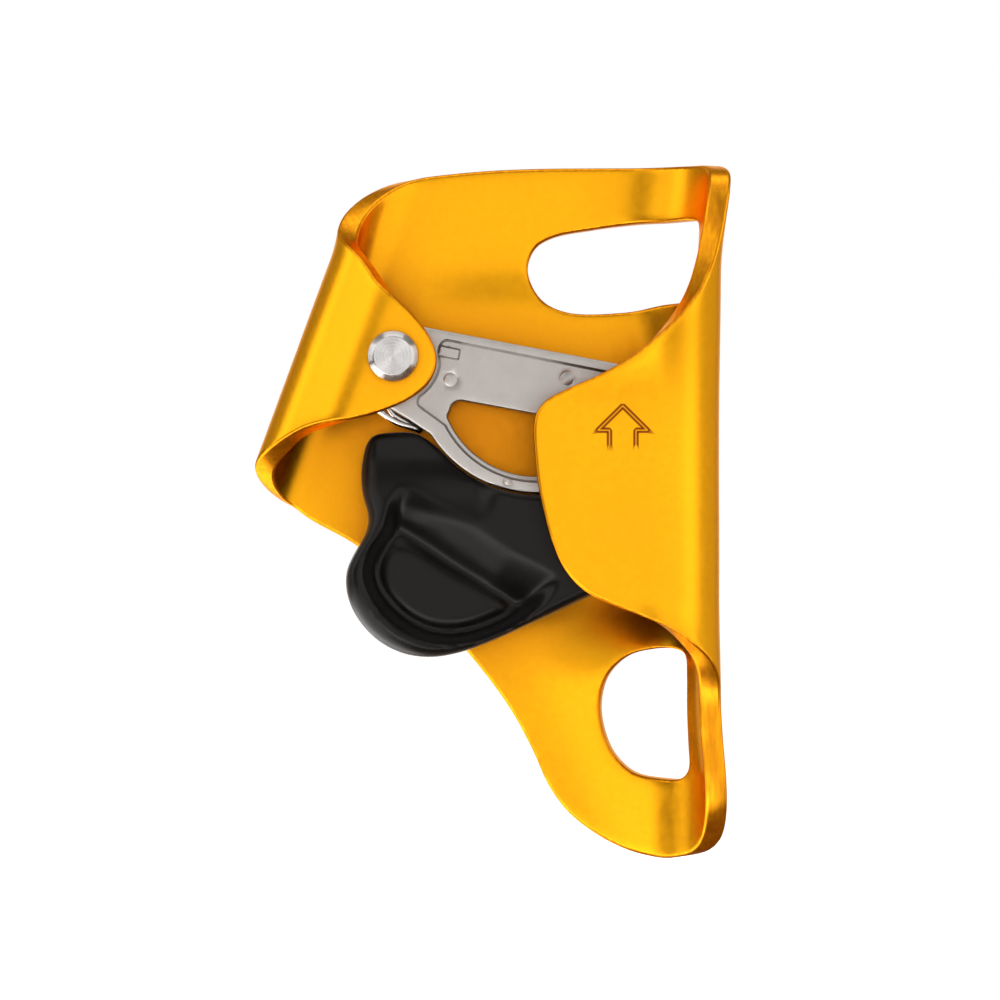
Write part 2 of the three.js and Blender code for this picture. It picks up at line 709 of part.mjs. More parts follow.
// ---- springs -------------------------------------------------------------------------------------
const CAM_WIRE_RADIUS = 0.45;
const CAM_SPRING_REAR = -3.6; // middle of the wire at the rear end of the coil
const CAM_SPRING_FRONT = -6;
const CATCH_WIRE_RADIUS = 0.3;
const CATCH_SPRING_REAR = -9.8;
const CATCH_SPRING_FRONT = -11.4;

function places(points) {
  return points.map((point) => new THREE.Vector3(...point));
}

function coilPoints(x, z, radius, rear, front, from, turns) {
  const count = Math.round(turns * 10);
  return Array.from({ length: count + 1 }, (_, i) => {
    const share = i / count;
    const angle = degrees(from) + 2 * Math.PI * turns * share;
    return new THREE.Vector3(
      x + radius * Math.cos(angle),
      rear + (front - rear) * share,
      z + radius * Math.sin(angle),
    );
  });
}

function camSpring() {
  const coil = coilPoints(PIVOT_X, PIVOT_Z, 4.4, CAM_SPRING_REAR, CAM_SPRING_FRONT, 90, 2.42);
  const frameLeg = [[-47, CAM_SPRING_REAR, 57], [-42.6, CAM_SPRING_REAR, 58.2]];
  // The cam's leg runs along the cam's lower edge and turns back beside itself.
  const camLeg = [
    [-39, -6.2, 45.4], [-36.9, -6.25, 44.05], [-35.5, -6.3, 43.2], [-34.95, -6.85, 42.9],
    [-35.5, -7.4, 43.15], [-38.4, -7.45, 44.1], [-41.3, -7.45, 46],
  ];
  return wire([...places(frameLeg), ...coil, ...places(camLeg)], CAM_WIRE_RADIUS, 76);
}

function catchSpring() {
  const coil = coilPoints(PIN_X, PIN_Z, 2.4, CATCH_SPRING_REAR, CATCH_SPRING_FRONT, 100, 2.3);
  const camLeg = [[-1.2, CATCH_SPRING_REAR, 33]];
  const catchLeg = [[-8.4, CATCH_SPRING_FRONT, 26.2], [-10.4, CATCH_SPRING_FRONT, 25.2]];
  return wire([...places(camLeg), ...coil, ...places(catchLeg)], CATCH_WIRE_RADIUS, 36);
}

// ---- assembly ------------------------------------------------------------------------------------
const group = new THREE.Group();
group.name = "chest_ascender";

function add(name, geometry, color, roughness, metalness) {
  const material = new THREE.MeshStandardMaterial({ color, roughness, metalness });
  const mesh = new THREE.Mesh(geometry, material);
  mesh.name = name;
  group.add(mesh);
}

add("frame", frame(), 0xe8a418, 0.35, 0.9);
add("wear_plate", wearPlate(), 0xc8c9c6, 0.3, 0.95);
add("axle_rivet", axleRivet(), 0xd4d4d2, 0.25, 0.95);
add("rear_washer", rearWasher(), 0xbcbdba, 0.35, 0.9);
add("front_washer", frontWasher(), 0xbcbdba, 0.35, 0.9);
add("cam", cam(), 0xb4afa8, 0.45, 0.9);
add("cam_bush", camBush(), 0xb08d4a, 0.4, 0.85);
add("cam_spring", camSpring(), 0xc9cac8, 0.25, 0.95);
add("catch", safetyCatch(), 0x1d1b1a, 0.55, 0.0);
add("catch_pin", catchPin(), 0xc4c5c3, 0.3, 0.95);
add("catch_spring", catchSpring(), 0xc9cac8, 0.25, 0.95);

export default group;
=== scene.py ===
"""Looks of the chest ascender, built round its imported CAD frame.

Shapes are worked out in millimetres in the CAD's own frame (X across, Z up, front towards -Y) and
become metres where the meshes are made."""

import math
from contextlib import contextmanager

import bmesh
import bpy
import numpy as np
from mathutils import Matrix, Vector, kdtree
from mathutils.geometry import delaunay_2d_cdt


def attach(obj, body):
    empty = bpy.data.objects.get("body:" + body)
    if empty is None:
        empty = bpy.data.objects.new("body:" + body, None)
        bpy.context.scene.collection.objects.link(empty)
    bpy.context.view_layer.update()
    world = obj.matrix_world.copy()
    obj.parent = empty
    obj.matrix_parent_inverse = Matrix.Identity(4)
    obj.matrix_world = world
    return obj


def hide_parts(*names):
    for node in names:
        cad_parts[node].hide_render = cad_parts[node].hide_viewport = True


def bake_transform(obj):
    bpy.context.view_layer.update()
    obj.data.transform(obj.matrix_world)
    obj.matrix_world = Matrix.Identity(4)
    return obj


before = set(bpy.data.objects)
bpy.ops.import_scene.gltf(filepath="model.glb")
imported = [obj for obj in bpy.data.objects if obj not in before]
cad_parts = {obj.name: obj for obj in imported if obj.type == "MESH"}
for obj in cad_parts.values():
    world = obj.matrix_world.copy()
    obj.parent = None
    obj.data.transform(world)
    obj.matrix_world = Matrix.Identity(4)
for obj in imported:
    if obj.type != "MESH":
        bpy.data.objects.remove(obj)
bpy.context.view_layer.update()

MM = 0.001

# How near is as good as touching: lengths, turns in radians, and points of a flat mesh.
TINY = 1e-9
STRAIGHT_ENOUGH = 1e-7
WELD = 1e-5
EXTRA_CLEARANCE = 0.12

# ---- sizes of the folded frame, as in the CAD ----
SHEET = 3.3
HALF = SHEET / 2
GAP = 0.3
PIVOT = (-38.65, 53.7)
AXLE_RADIUS = 2.5
AXLE_HOLE_RADIUS = AXLE_RADIUS + GAP
CHANNEL_RADIUS = 8.85
CHANNEL_WALL_X = 8.4
CHANNEL_LOW = 14
CHANNEL_HIGH = 44
TILT_RUN = 9
TILT_FROM = -26
TILT_MIDDLE_X = -15.2
TILT_SLANT = 0.41
LOBE_TILT = math.radians(9.5)
TILT_HIGH = 18
TILT_LOW = 5
CURL_TILT = math.radians(20.2)
CURL_START = -60.65
CURL_RADIUS = 6.8
CURL_TURN = math.radians(150)
CURL_SLOPE = 4
CREASE_RADIUS = 6
CREASE_TURN = math.radians(30)
EAR_MIDDLE = -15.5
EAR_REAR = EAR_MIDDLE + HALF
EAR_FRONT = EAR_MIDDLE - HALF
FAR = 1000

# How much a size grows towards an end of the frame, and the places where that starts and is full.
# Those of the lower lobe count downwards.
LOBE_WIDENING = (3, -CHANNEL_LOW, 2)
HEAD_WIDENING = (6, CHANNEL_HIGH, 76)
LOBE_FLARE = (1.1, -4, 14)
HEAD_FLARE = (1.7, 66, 84)
CURL_WIDENING = (1.2, 48, 58)

# ---- sizes of the other pieces ----
RUNNING_GAP = 0.25
PEEN_RADIUS = 3.9
PEEN_REAR = 1.5
HEAD_RADIUS = 3.75
LINER_SHEET = 0.8
LINER_LOW = 21
LINER_HIGH = 43
LINER_LEG_END = -8
REAR_WASHER_RADIUS = 5.4
REAR_WASHER_FRONT = -2.75
FRONT_WASHER_RADIUS = 4
CAM_REAR = -3.3
CAM_FRONT = -12.7
SPRING_ROOM_FRONT = -6.6
SPRING_ROOM_RADIUS = 8.4
GRIP_RADIUS = 43.4
GRIP_GROWTH = 1.9
GRIP_START = -3.8
GRIP_TURN = -19.4
TOOTH_COUNT = 9
TOOTH_DEPTH = 0.8
RIM = (-17.3, 52)
RIM_RADIUS = 18.6
WINDOW = (-17.3, 50.5)
WINDOW_RADIUS = 14.6
BUSH_OUTER = 3.4
BUSH_REAR = -3.05
CAM_SPRING_REAR = -3.6
CAM_SPRING_FRONT = -6
PIN = (-6, 29.4)
PIN_RADIUS = 1.5
PIN_REAR = -3.4
PIN_FRONT = -13.3
PIN_BREAK = 0.2
LUG_REAR = -5.8
LUG_FRONT = -9.2
CATCH_REAR = -3.1
CATCH_FRONT = -14.5
CATCH_GAP = 0.25
CATCH_SPRING_REAR = -9.8
CATCH_SPRING_FRONT = -11.4


# ---- outlines ----
def smooth(value, low, high):
    """From 0 at low to 1 at high, with an easy start and end; low may be the larger one."""
    share = np.clip((value - low) / (high - low), 0, 1)
    return share * share * (3 - 2 * share)


def growth(rule, place):
    most, start, full = rule
    return most * smooth(place, start, full)


def unit(vector):
    return vector / np.linalg.norm(vector)


def units(vectors):
    return vectors / np.linalg.norm(vectors, axis=1)[:, None]


def short_curve(start, corner, end, steps):
    """Points of a curve that sets out towards the corner and bends round to the end."""
    shares = [k / steps for k in range(steps + 1)]
    return [(1 - t) ** 2 * start + 2 * t * (1 - t) * corner + t**2 * end for t in shares]


def spline(points, per_span, closed=True):
    """A centripetal Catmull-Rom curve through the points, the same curve as in the CAD."""
    points = np.array(points, float)
    if not closed:
        first = 2 * points[0] - points[1]
        last = 2 * points[-1] - points[-2]
        points = np.vstack([first, points, last])
    count = len(points)
    spans = range(count) if closed else range(1, count - 2)
    made = []
    for i in spans:
        p0, p1, p2, p3 = (points[(i + k) % count] for k in (-1, 0, 1, 2))
        d0, d1, d2 = (np.linalg.norm(b - a) ** 0.5 for a, b in ((p0, p1), (p1, p2), (p2, p3)))
        leave = ((p1 - p0) / d0 - (p2 - p0) / (d0 + d1) + (p2 - p1) / d1) * d1
        arrive = ((p2 - p1) / d1 - (p3 - p1) / (d1 + d2) + (p3 - p2) / d2) * d1
        t = np.linspace(0, 1, per_span, endpoint=False)[:, None]
        square = -3 * p1 + 3 * p2 - 2 * leave - arrive
        cube = 2 * p1 - 2 * p2 + leave + arrive
        made.append(p1 + leave * t + square * t**2 + cube * t**3)
    if not closed:
        made.append(points[-2:-1])
    return np.vstack(made)


def evenly(points, spacing):
    """Points at even steps along a closed line."""
    closed = np.vstack([points, points[:1]])
    run = np.concatenate([[0], np.cumsum(np.linalg.norm(np.diff(closed, axis=0), axis=1))])
    count = max(8, round(run[-1] / spacing))
    wanted = np.linspace(0, run[-1], count, endpoint=False)
    return np.stack([np.interp(wanted, run, closed[:, k]) for k in range(points.shape[1])], axis=1)


def with_corners(points, spacing):
    """Points along a closed line of straight stretches, keeping its corners."""
    made = []
    for start, end in zip(points, np.roll(points, -1, axis=0)):
        count = max(1, math.ceil(np.linalg.norm(end - start) / spacing))
        made.extend(start + (end - start) * k / count for k in range(count))
    return np.array(made)


def corner_rounded(points, radius, steps=5):
    """The closed line with each corner replaced by a short curve, for outlines given by corners."""
    points = np.array(points, float)
    made = []
    for before, corner, after in zip(np.roll(points, 1, axis=0), points, np.roll(points, -1, axis=0)):
        back = before - corner
        on = after - corner
        reach_back = min(radius, np.linalg.norm(back) * 0.45)
        reach_on = min(radius, np.linalg.norm(on) * 0.45)
        start = corner + unit(back) * reach_back
        end = corner + unit(on) * reach_on
        made.extend(short_curve(start, corner, end, steps))
    return np.array(made)


def arc(centre, radius, start, end, count):
    angles = np.radians(np.linspace(start, end, count + 1))
    return np.stack([centre[0] + radius * np.cos(angles), centre[1] + radius * np.sin(angles)], axis=1)


def circle(centre, radius, spacing=0.4):
    count = max(24, round(2 * math.pi * radius / spacing))
    return arc(centre, radius, 0, 360, count)[:-1]


def turned_left(points):
    x, z = points[:, 0], points[:, 1]
    area = np.sum(x * np.roll(z, -1) - np.roll(x, -1) * z)
    return points if area > 0 else points[::-1]


def inside(points, rings):
    """True for the points inside the closed lines, counting a line within another as a hole."""
    odd = np.zeros(len(points), bool)
    for ring in rings:
        ends = np.roll(ring, -1, axis=0)
        for (ax, az), (bx, bz) in zip(ring, ends):
            if az == bz:
                continue
            crossed = (az > points[:, 1]) != (bz > points[:, 1])
            reach = ax + (points[:, 1] - az) / (bz - az) * (bx - ax)
            odd ^= crossed & (points[:, 0] < reach)
    return odd


def distance_to_line(points, line, closed=False):
    """Distance from each point to a chain of straight stretches."""
    line = np.array(line, float)
    ends = np.roll(line, -1, axis=0)
    if not closed:
        line, ends = line[:-1], ends[:-1]
    nearest = np.full(len(points), np.inf)
    for start, end in zip(line, ends):
        along = end - start
        share = np.clip(((points - start) @ along) / max(along @ along, TINY), 0, 1)
        gap = np.linalg.norm(points - start - share[:, None] * along, axis=1)
        nearest = np.minimum(nearest, gap)
    return nearest


def depth_inside(points, ring):
    """Distance to the closed line, positive inside it and negative outside."""
    gap = distance_to_line(points, ring, closed=True)
    return np.where(inside(points, [ring]), gap, -gap)


def inward(ring):
    """For each point of a closed line with its material on the left, the direction into it."""
    along = units(np.roll(ring, -1, axis=0) - np.roll(ring, 1, axis=0))
    return np.stack([-along[:, 1], along[:, 0]], axis=1)


def beside(line, offsets, spacing, closed=True):
    """Rows of points alongside a line, so that the mesh follows a sharp step there."""
    line = np.array(line, float)
    if closed:
        steps = with_corners(line, spacing)
    else:
        steps = np.vstack([
            np.linspace(a, b, max(2, math.ceil(np.linalg.norm(b - a) / spacing)) + 1)
            for a, b in zip(line[:-1], line[1:])
        ])
    along = np.gradient(steps, axis=0)
    moving = np.linalg.norm(along, axis=1) > TINY
    steps = steps[moving]
    along = units(along[moving])
    side = np.stack([-along[:, 1], along[:, 0]], axis=1)
    return np.vstack([steps + side * offset for offset in offsets])


# ---- meshes ----
@contextmanager
def editing(mesh):
    shape = bmesh.new()
    shape.from_mesh(mesh)
    yield shape
    shape.to_mesh(mesh)
    shape.free()


def in_scene(name, data):
    piece = bpy.data.objects.new(name, data)
    bpy.context.scene.collection.objects.link(piece)
    return piece


def new_piece(name, points, faces, marks=None):
    """A mesh object from points in millimetres, with its normals out, smooth shaded."""
    mesh = bpy.data.meshes.new(name)
    mesh.from_pydata((np.asarray(points) * MM).tolist(), [], [list(map(int, face)) for face in faces])
    for key, values in (marks or {}).items():
        mark = mesh.attributes.new(key, "FLOAT", "POINT")
        mark.data.foreach_set("value", np.asarray(values, np.float32))
    with editing(mesh) as shape:
        bmesh.ops.recalc_face_normals(shape, faces=shape.faces)
    mesh.shade_smooth()
    return in_scene(name, mesh)


def bands(starts, count):
    """Faces between closed rows of points, each row told by the number of its first point."""
    faces = []
    for one, two in zip(starts[:-1], starts[1:]):
        for i in range(count):
            j = (i + 1) % count
            faces.append((one + i, one + j, two + j, two + i))
    return faces


def clear_of(points, others, gap):
    """True for the points that have none of the others within the gap."""
    tree = kdtree.KDTree(len(others))
    for i, (x, z) in enumerate(others):
        tree.insert((x, z, 0), i)
    tree.balance()
    return np.array([tree.find((x, z, 0))[2] > gap for x, z in points], bool)


def lattice(rings, spacing, keep_clear):
    """Points in even rows inside the closed lines, clear of the given points."""
    low, high = rings[0].min(axis=0), rings[0].max(axis=0)
    rise = spacing * math.sqrt(3) / 2
    made = []
    for row, z in enumerate(np.arange(low[1], high[1], rise)):
        start = low[0] + (spacing / 2 if row % 2 else 0)
        made.extend((x, z) for x in np.arange(start, high[0], spacing))
    made = np.array(made)
    made = made[inside(made, rings)]
    return made[clear_of(made, keep_clear, 0.6 * spacing)]


def filled(rings, extra, spacing):
    """Triangles over the area inside the closed lines. The lines' own points come first."""
    border = np.vstack(rings)
    extra = extra[inside(extra, rings) & clear_of(extra, border, EXTRA_CLEARANCE)]
    fixed = np.vstack([border, extra])
    points = np.vstack([fixed, lattice(rings, spacing, fixed)])
    edges = []
    start = 0
    for ring in rings:
        edges += [(start + i, start + (i + 1) % len(ring)) for i in range(len(ring))]
        start += len(ring)
    made, _, faces, sources, _, _ = delaunay_2d_cdt([Vector(p) for p in points], edges, [], 0, WELD)
    made = np.array([tuple(v) for v in made])
    number = np.array([min(source) if source else -1 for source in sources])
    faces = np.array(faces)
    middle = made[faces].mean(axis=1)
    return points, number[faces[inside(middle, rings)]]


def plate(name, rings, place, front_rows, rear_rows, spacing, extra=(), marks=None):
    """A closed body from closed lines: the first is its outer border and the others are holes.

    place(points, side, drop) puts flat points in space: side is 1 for the front surface and -1 for
    the rear, and drop is the depth below it. front_rows and rear_rows give, for each line, the rows
    of (inset, drop) that round its edge from the face outwards; each number may be one for the whole
    line or one for each of its points. extra lists flat points that the mesh has to have, and marks
    gives rules that work out a named value for each point."""
    rings = [turned_left(rings[0])] + [turned_left(ring)[::-1] for ring in rings[1:]]
    normals = [inward(ring) for ring in rings]
    points = []
    faces = []
    edge_mark = []
    first_rows = {}
    extra = np.array(extra, float).reshape(-1, 2)

    def add(block, mark):
        start = sum(len(part) for part in points)
        points.append(block)
        edge_mark.append(np.full(len(block), mark, float))
        return start

    def moved_in(k, inset):
        return rings[k] + normals[k] * np.broadcast_to(inset, len(rings[k]))[:, None]

    for side, rows in ((1, front_rows), (-1, rear_rows)):
        insets = [moved_in(k, row[0][0]) for k, row in enumerate(rows)]
        flat, triangles = filled(insets, extra, spacing)
        start = add(place(flat, side, np.zeros(len(flat))), 0)
        faces.extend(start + triangles)
        offset = start
        for k, ring in enumerate(rings):
            first_rows[side, k] = offset
            offset += len(ring)
    for k, ring in enumerate(rings):
        rims = [first_rows[1, k]]
        down_the_edge = [(1, row) for row in front_rows[k][1:]] + [(-1, row) for row in rear_rows[k][:0:-1]]
        for side, (inset, drop) in down_the_edge:
            drop = np.broadcast_to(drop, len(ring))
            rims.append(add(place(moved_in(k, inset), side, drop), 1))
        rims.append(first_rows[-1, k])
        faces.extend(bands(rims, len(ring)))
    everything = np.vstack(points)
    named = {"edge": np.concatenate(edge_mark)}
    if marks:
        named.update({key: rule(everything) for key, rule in marks.items()})
    return new_piece(name, everything, faces, named)


def rounding(inset, depth, steps=5):
    """Rows of (inset, drop) over a quarter round from a face to its edge."""
    turns = [math.radians(90 * k / steps) for k in range(steps + 1)]
    return [(inset * (1 - math.sin(turn)), depth * (1 - math.cos(turn))) for turn in turns]


def turned(name, profile, centre, count=96, radius=0.12):
    """A turned piece about an axis along Y; the profile lists (radius, depth), rear to front.

    It starts and ends on the axis, or else it closes on itself and the piece is a ring."""
    profile = np.array(profile, float)
    line = [profile[0]]
    for before, corner, after in zip(profile[:-2], profile[1:-1], profile[2:]):
        back, on = before - corner, after - corner
        reach = min(radius, np.linalg.norm(back) * 0.4, np.linalg.norm(on) * 0.4)
        line.extend(short_curve(corner + unit(back) * reach, corner, corner + unit(on) * reach, 4))
    line.append(profile[-1])
    solid = profile[0][0] == 0
    rims = line[1:-1] if solid else line
    turns = [2 * math.pi * i / count for i in range(count)]
    points = [
        (centre[0] + reach * math.cos(turn), depth, centre[1] + reach * math.sin(turn))
        for reach, depth in rims for turn in turns
    ]
    starts = list(range(0, len(points), count))
    if not solid:
        return new_piece(name, points, bands(starts + starts[:1], count))
    rear_fan, front_fan = [], []
    for i in range(count):
        j = (i + 1) % count
        rear_fan.append((len(points), j, i))
        front_fan.append((starts[-1] + i, starts[-1] + j, len(points) + 1))
    points += [(centre[0], depth, centre[1]) for depth in (line[0][1], line[-1][1])]
    return new_piece(name, points, rear_fan + bands(starts, count) + front_fan)


def ring_piece(name, outer, rear, front):
    """A plain ring round the axle with its edges broken."""
    inner = AXLE_HOLE_RADIUS
    edge = min(0.15, (rear - front) * 0.3, (outer - inner) * 0.3)
    profile = [
        (inner, rear - edge), (inner + edge, rear), (outer - edge, rear), (outer, rear - edge),
        (outer, front + edge), (outer - edge, front), (inner + edge, front), (inner, front + edge),
    ]
    return turned(name, profile, PIVOT, radius=0.05)


def tube(name, path, radius, around=14):
    """A round wire along a path, with rounded ends."""
    path = np.array(path, float)
    along = units(np.gradient(path, axis=0))
    across = unit(np.cross(along[0], (0.3, 0.9, 0.2)))
    points, rows = [], []

    def row(middle, side, up, size):
        rows.append(len(points))
        for i in range(around):
            turn = 2 * math.pi * i / around
            points.append(middle + size * (side * math.cos(turn) + up * math.sin(turn)))

    cap = [(0.7 * math.cos(turn), math.sin(turn)) for turn in np.radians([15, 40, 65])]
    for k, (middle, heading) in enumerate(zip(path, along)):
        across = unit(across - heading * (across @ heading))
        up = np.cross(heading, across)
        if k == 0:
            for back, size in cap:
                row(middle - heading * radius * back, across, up, radius * size)
        row(middle, across, up, radius)
        if k == len(path) - 1:
            for on, size in reversed(cap):
                row(middle + heading * radius * on, across, up, radius * size)
    ends = [[start + i for i in range(around)] for start in (rows[0], rows[-1])]
    return new_piece(name, points, bands(rows, around) + ends)


def cut_away(piece, *tools):
    """Takes the tools' solids out of a piece."""
    for tool in tools:
        step = piece.modifiers.new("cut", "BOOLEAN")
        step.operation = "DIFFERENCE"
        step.solver = "EXACT"
        step.object = tool
        graph = bpy.context.evaluated_depsgraph_get()
        mesh = bpy.data.meshes.new_from_object(piece.evaluated_get(graph))
        piece.modifiers.clear()
        old = piece.data
        piece.data = mesh
        bpy.data.meshes.remove(old)
        bpy.data.objects.remove(tool)
    sharp_by_angle(piece, 35)
    return piece


def soften(piece, share, times):
    """Evens out a mesh, as moulding does with every inner corner."""
    axes = {"use_axis_x": True, "use_axis_y": True, "use_axis_z": True}
    with editing(piece.data) as shape:
        for _ in range(times):
            bmesh.ops.smooth_vert(shape, verts=shape.verts, factor=share, **axes)


def sharp_by_angle(piece, degrees):
    """Smooth shading that stays crisp over corners sharper than the angle."""
    piece.data.shade_smooth()
    piece.data.set_sharp_from_angle(angle=math.radians(degrees))


# ---- how the flat blank is folded ----
def walk(stretches, distance):
    """How far across and forward the middle surface has come after a distance, and its heading.

    Each stretch is (length, turn): straight where the turn is 0 and else an arc."""
    left = np.array(distance, float)
    across, forward, heading = np.zeros_like(left), np.zeros_like(left), np.zeros_like(left)
    going = np.ones_like(left, bool)
    for length, turn in stretches:
        part = np.where(going, np.minimum(left, length), 0)
        real = np.abs(length) > TINY
        bend = np.where(real, turn * part / np.where(real, length, 1), 0)
        after = heading + bend
        straight = np.abs(bend) < STRAIGHT_ENOUGH
        radius = part / np.where(straight, 1, bend)
        across += np.where(straight, part * np.cos(heading), radius * (np.sin(after) - np.sin(heading)))
        forward += np.where(straight, part * np.sin(heading), radius * (np.cos(heading) - np.cos(after)))
        heading = after
        left = left - part
        going &= left > 0
    return across, forward, heading


def channel_sizes(z):
    """At a height: rear bend radius, where the wall stands, the lobe's tilt and its tilt's middle."""
    radius = CHANNEL_RADIUS + growth(LOBE_WIDENING, -z) + growth(HEAD_WIDENING, z)
    wall = CHANNEL_WALL_X + growth(LOBE_FLARE, -z) + growth(HEAD_FLARE, z)
    tilt = LOBE_TILT * smooth(-z, -TILT_HIGH, -TILT_LOW)
    tilt_middle = TILT_MIDDLE_X - TILT_SLANT * np.minimum(z, CHANNEL_LOW)
    return radius, wall, tilt, tilt_middle


def channel_stretches(z):
    """Plate, forward tilt of the lower lobe, plate, rear bend, front bend and flap."""
    radius, wall, tilt, tilt_middle = channel_sizes(z)
    before = tilt_middle - TILT_RUN / 2 - TILT_FROM
    opening = [(before, 0), (TILT_RUN, tilt)]
    reached = TILT_FROM + walk(opening, before + TILT_RUN)[0]
    gap = (wall - radius * (1 - np.sin(tilt)) - reached) / np.cos(tilt)
    rear_bend = math.pi / 2 - tilt
    front_bend = math.pi / 2
    return opening + [
        (gap, 0),
        (radius * rear_bend, rear_bend),
        (CHANNEL_RADIUS * front_bend, front_bend),
        (FAR, 0),
    ]


def curl_stretches(along):
    """Curl, the slope back towards the plate, the crease and the ear."""
    radius = CURL_RADIUS + growth(CURL_WIDENING, along)
    return [
        (radius * CURL_TURN, CURL_TURN),
        (CURL_SLOPE, 0),
        (CREASE_RADIUS * CREASE_TURN, CREASE_TURN),
        (FAR, 0),
    ]


def slanted(x, z, lean=CURL_TILT):
    """Places across and along the curl, whose axis leans, from upright ones."""
    return (math.cos(lean) * x - math.sin(lean) * z, math.sin(lean) * x + math.cos(lean) * z)


def upright(across, along):
    """The reverse of slanted()."""
    return slanted(across, along, -CURL_TILT)


def on_bend(heading, z):
    """The blank's point that ends up on the channel's bend at this heading, in degrees."""
    radius, _, tilt, _ = channel_sizes(z)
    before_bend = sum(length for length, _ in channel_stretches(z)[:3])
    rear = math.radians(min(heading, 90)) - tilt
    front = math.radians(max(heading - 90, 0))
    return (float(TILT_FROM + (before_bend + radius * rear + CHANNEL_RADIUS * front)), z)


def on_flap(x, z):
    """The blank's point that ends up on the flap at this place."""
    turn_end = on_bend(180, z)[0]
    wall = float(channel_sizes(z)[1])
    return (turn_end + wall - CHANNEL_RADIUS - x, z)


def on_curl(run, along):
    """The blank's point at this distance round the curl."""
    return upright(CURL_START - run, along)


def on_ear(x, z):
    """The blank's point that ends up on the ear at this place."""
    across, along = slanted(x, z)
    stretches = curl_stretches(along)
    crease = sum(float(length) for length, _ in stretches[:3])
    crease_end = CURL_START - float(walk(stretches, crease)[0])
    return on_curl(crease + across - crease_end, along)


def fold(blank, lift):
    """Where points of the flat blank, at a height above its middle, come to lie."""
    x, z = blank[:, 0], blank[:, 1]
    lift = np.broadcast_to(lift, len(x)).astype(float)
    made = np.stack([x, -lift, z], axis=1)
    right = x > TILT_FROM
    across, forward, heading = walk(channel_stretches(z[right]), x[right] - TILT_FROM)
    made[right] = np.stack([
        TILT_FROM + across - lift[right] * np.sin(heading),
        -forward - lift[right] * np.cos(heading),
        z[right],
    ], axis=1)
    slant_across, along = slanted(x, z)
    curled = slant_across < CURL_START
    across, forward, heading = walk(curl_stretches(along[curled]), CURL_START - slant_across[curled])
    folded = CURL_START - across + lift[curled] * np.sin(heading)
    px, pz = upright(folded, along[curled])
    made[curled] = np.stack([px, -forward - lift[curled] * np.cos(heading), pz], axis=1)
    return made


# ---- frame ----
EDGE_SPACING = 0.55
FACE_SPACING = 0.95
ENGRAVED_DEPTH = 0.3
ENGRAVED_HALF_WIDTH = 0.24
COUNTERSINK = 1.8


def frame_border():
    bend, flap, curl, ear = on_bend, on_flap, on_curl, on_ear
    return [
        (-26, 82.3), (-17.7, 82.7), (-8, 82.8), (-1, 82.8), bend(25, 82.8), bend(50, 82.7),
        bend(72, 82.3), bend(86, 80.8), bend(94, 78), bend(101, 74), bend(114, 69),
        bend(133, 64.4), bend(152, 60.6), bend(171, 57.4), flap(-2.6, 54.2), flap(-8, 51),
        flap(-13.4, 48.6), flap(-16.3, 46.9), flap(-17.7, 44.6), flap(-17.6, 38.2),
        flap(-16.8, 32.6), flap(-14.9, 25.5), flap(-13, 21.7), flap(-10, 18.8),
        flap(-5.8, 16.8), flap(-1.6, 15.2), bend(166, 13.6), bend(142, 10.9),
        bend(122, 8.6), bend(104, 5.8), bend(94, 2.6), bend(89, -3), bend(88, -9),
        bend(84, -14.2), bend(74, -17.9), bend(58, -20.3), bend(38, -21.5), (2.2, -21.8),
        (-3.2, -20.7), (-8.1, -18.3), (-12.4, -15), (-15.4, -11), (-18, -5.3), (-21.6, 1.2),
        (-28, 9.6), (-36, 18.2), (-44.3, 25.3), (-51.7, 29.5), curl(0.8, 10.6), curl(3.3, 11.1),
        curl(6.6, 12.4), curl(10.7, 14.7), curl(14.7, 17.8), curl(19, 22.3),
        curl(24.9, 26), ear(-40.6, 45.5), ear(-36.2, 47.4), ear(-33.4, 49.7),
        ear(-32.2, 52.9), ear(-33.2, 56.5), ear(-36, 60.2), curl(23, 46.3),
        curl(17.8, 49.5), curl(12.6, 52), curl(9.6, 55.4), curl(6.6, 59), curl(3.4, 62.1),
        (-35.6, 81.2),
    ]


def upper_hole():
    bend = on_bend
    return [
        (-18.6, 67.2), (-17.5, 70.6), (-14.8, 72.3), (-8.6, 73.5), (-2, 74.3), bend(30, 74.4),
        bend(58, 74.4), bend(72, 73.6), bend(77, 71), bend(77, 66.6), bend(71, 63.6),
        bend(56, 62.4), bend(30, 61.9), (-3.7, 60.9), (-12.6, 60.9), (-16.6, 62.9),
    ]


def lower_hole():
    bend = on_bend
    return [
        (-7.4, 1.8), (-6.2, 5.9), (-3.2, 8.8), (0.8, 9.9), bend(36, 9.9), bend(50, 9),
        bend(54, 6), bend(54, -4.5), bend(52, -7.8), bend(42, -9.5), (1.6, -9.7),
        (-2.4, -8.8), (-5.4, -6), (-7, -2.2),
    ]


def up_arrow():
    """A plain arrow drawn in outline on the flap: one open line from stem to stem."""
    corners = [
        (-6.7, 40.6), (-6.7, 42.7), (-8.4, 42.7), (-4.75, 46.3),
        (-1.1, 42.7), (-2.8, 42.7), (-2.8, 40.6),
    ]
    return np.array([on_flap(x, z) for x, z in corners])


def waviness(blank):
    """How far pressed sheet stands off a true plane: a faint ripple, and a step left of the slot."""
    x, z = blank[:, 0], blank[:, 1]
    ripple = 0.02 * np.sin(x / 5.3 + 0.4 * np.sin(z / 7)) + 0.02 * np.sin(z / 6.1 + x / 11)
    beside_slot = smooth(x, -40, -24) * (1 - smooth(x, -12, -6))
    step = -0.5 * beside_slot * smooth(z, 61.2, 68) * (1 - smooth(z, 69, 82))
    calm = smooth(x, -57, -50) * (1 - smooth(x, 26, 30))
    return (ripple + step) * calm


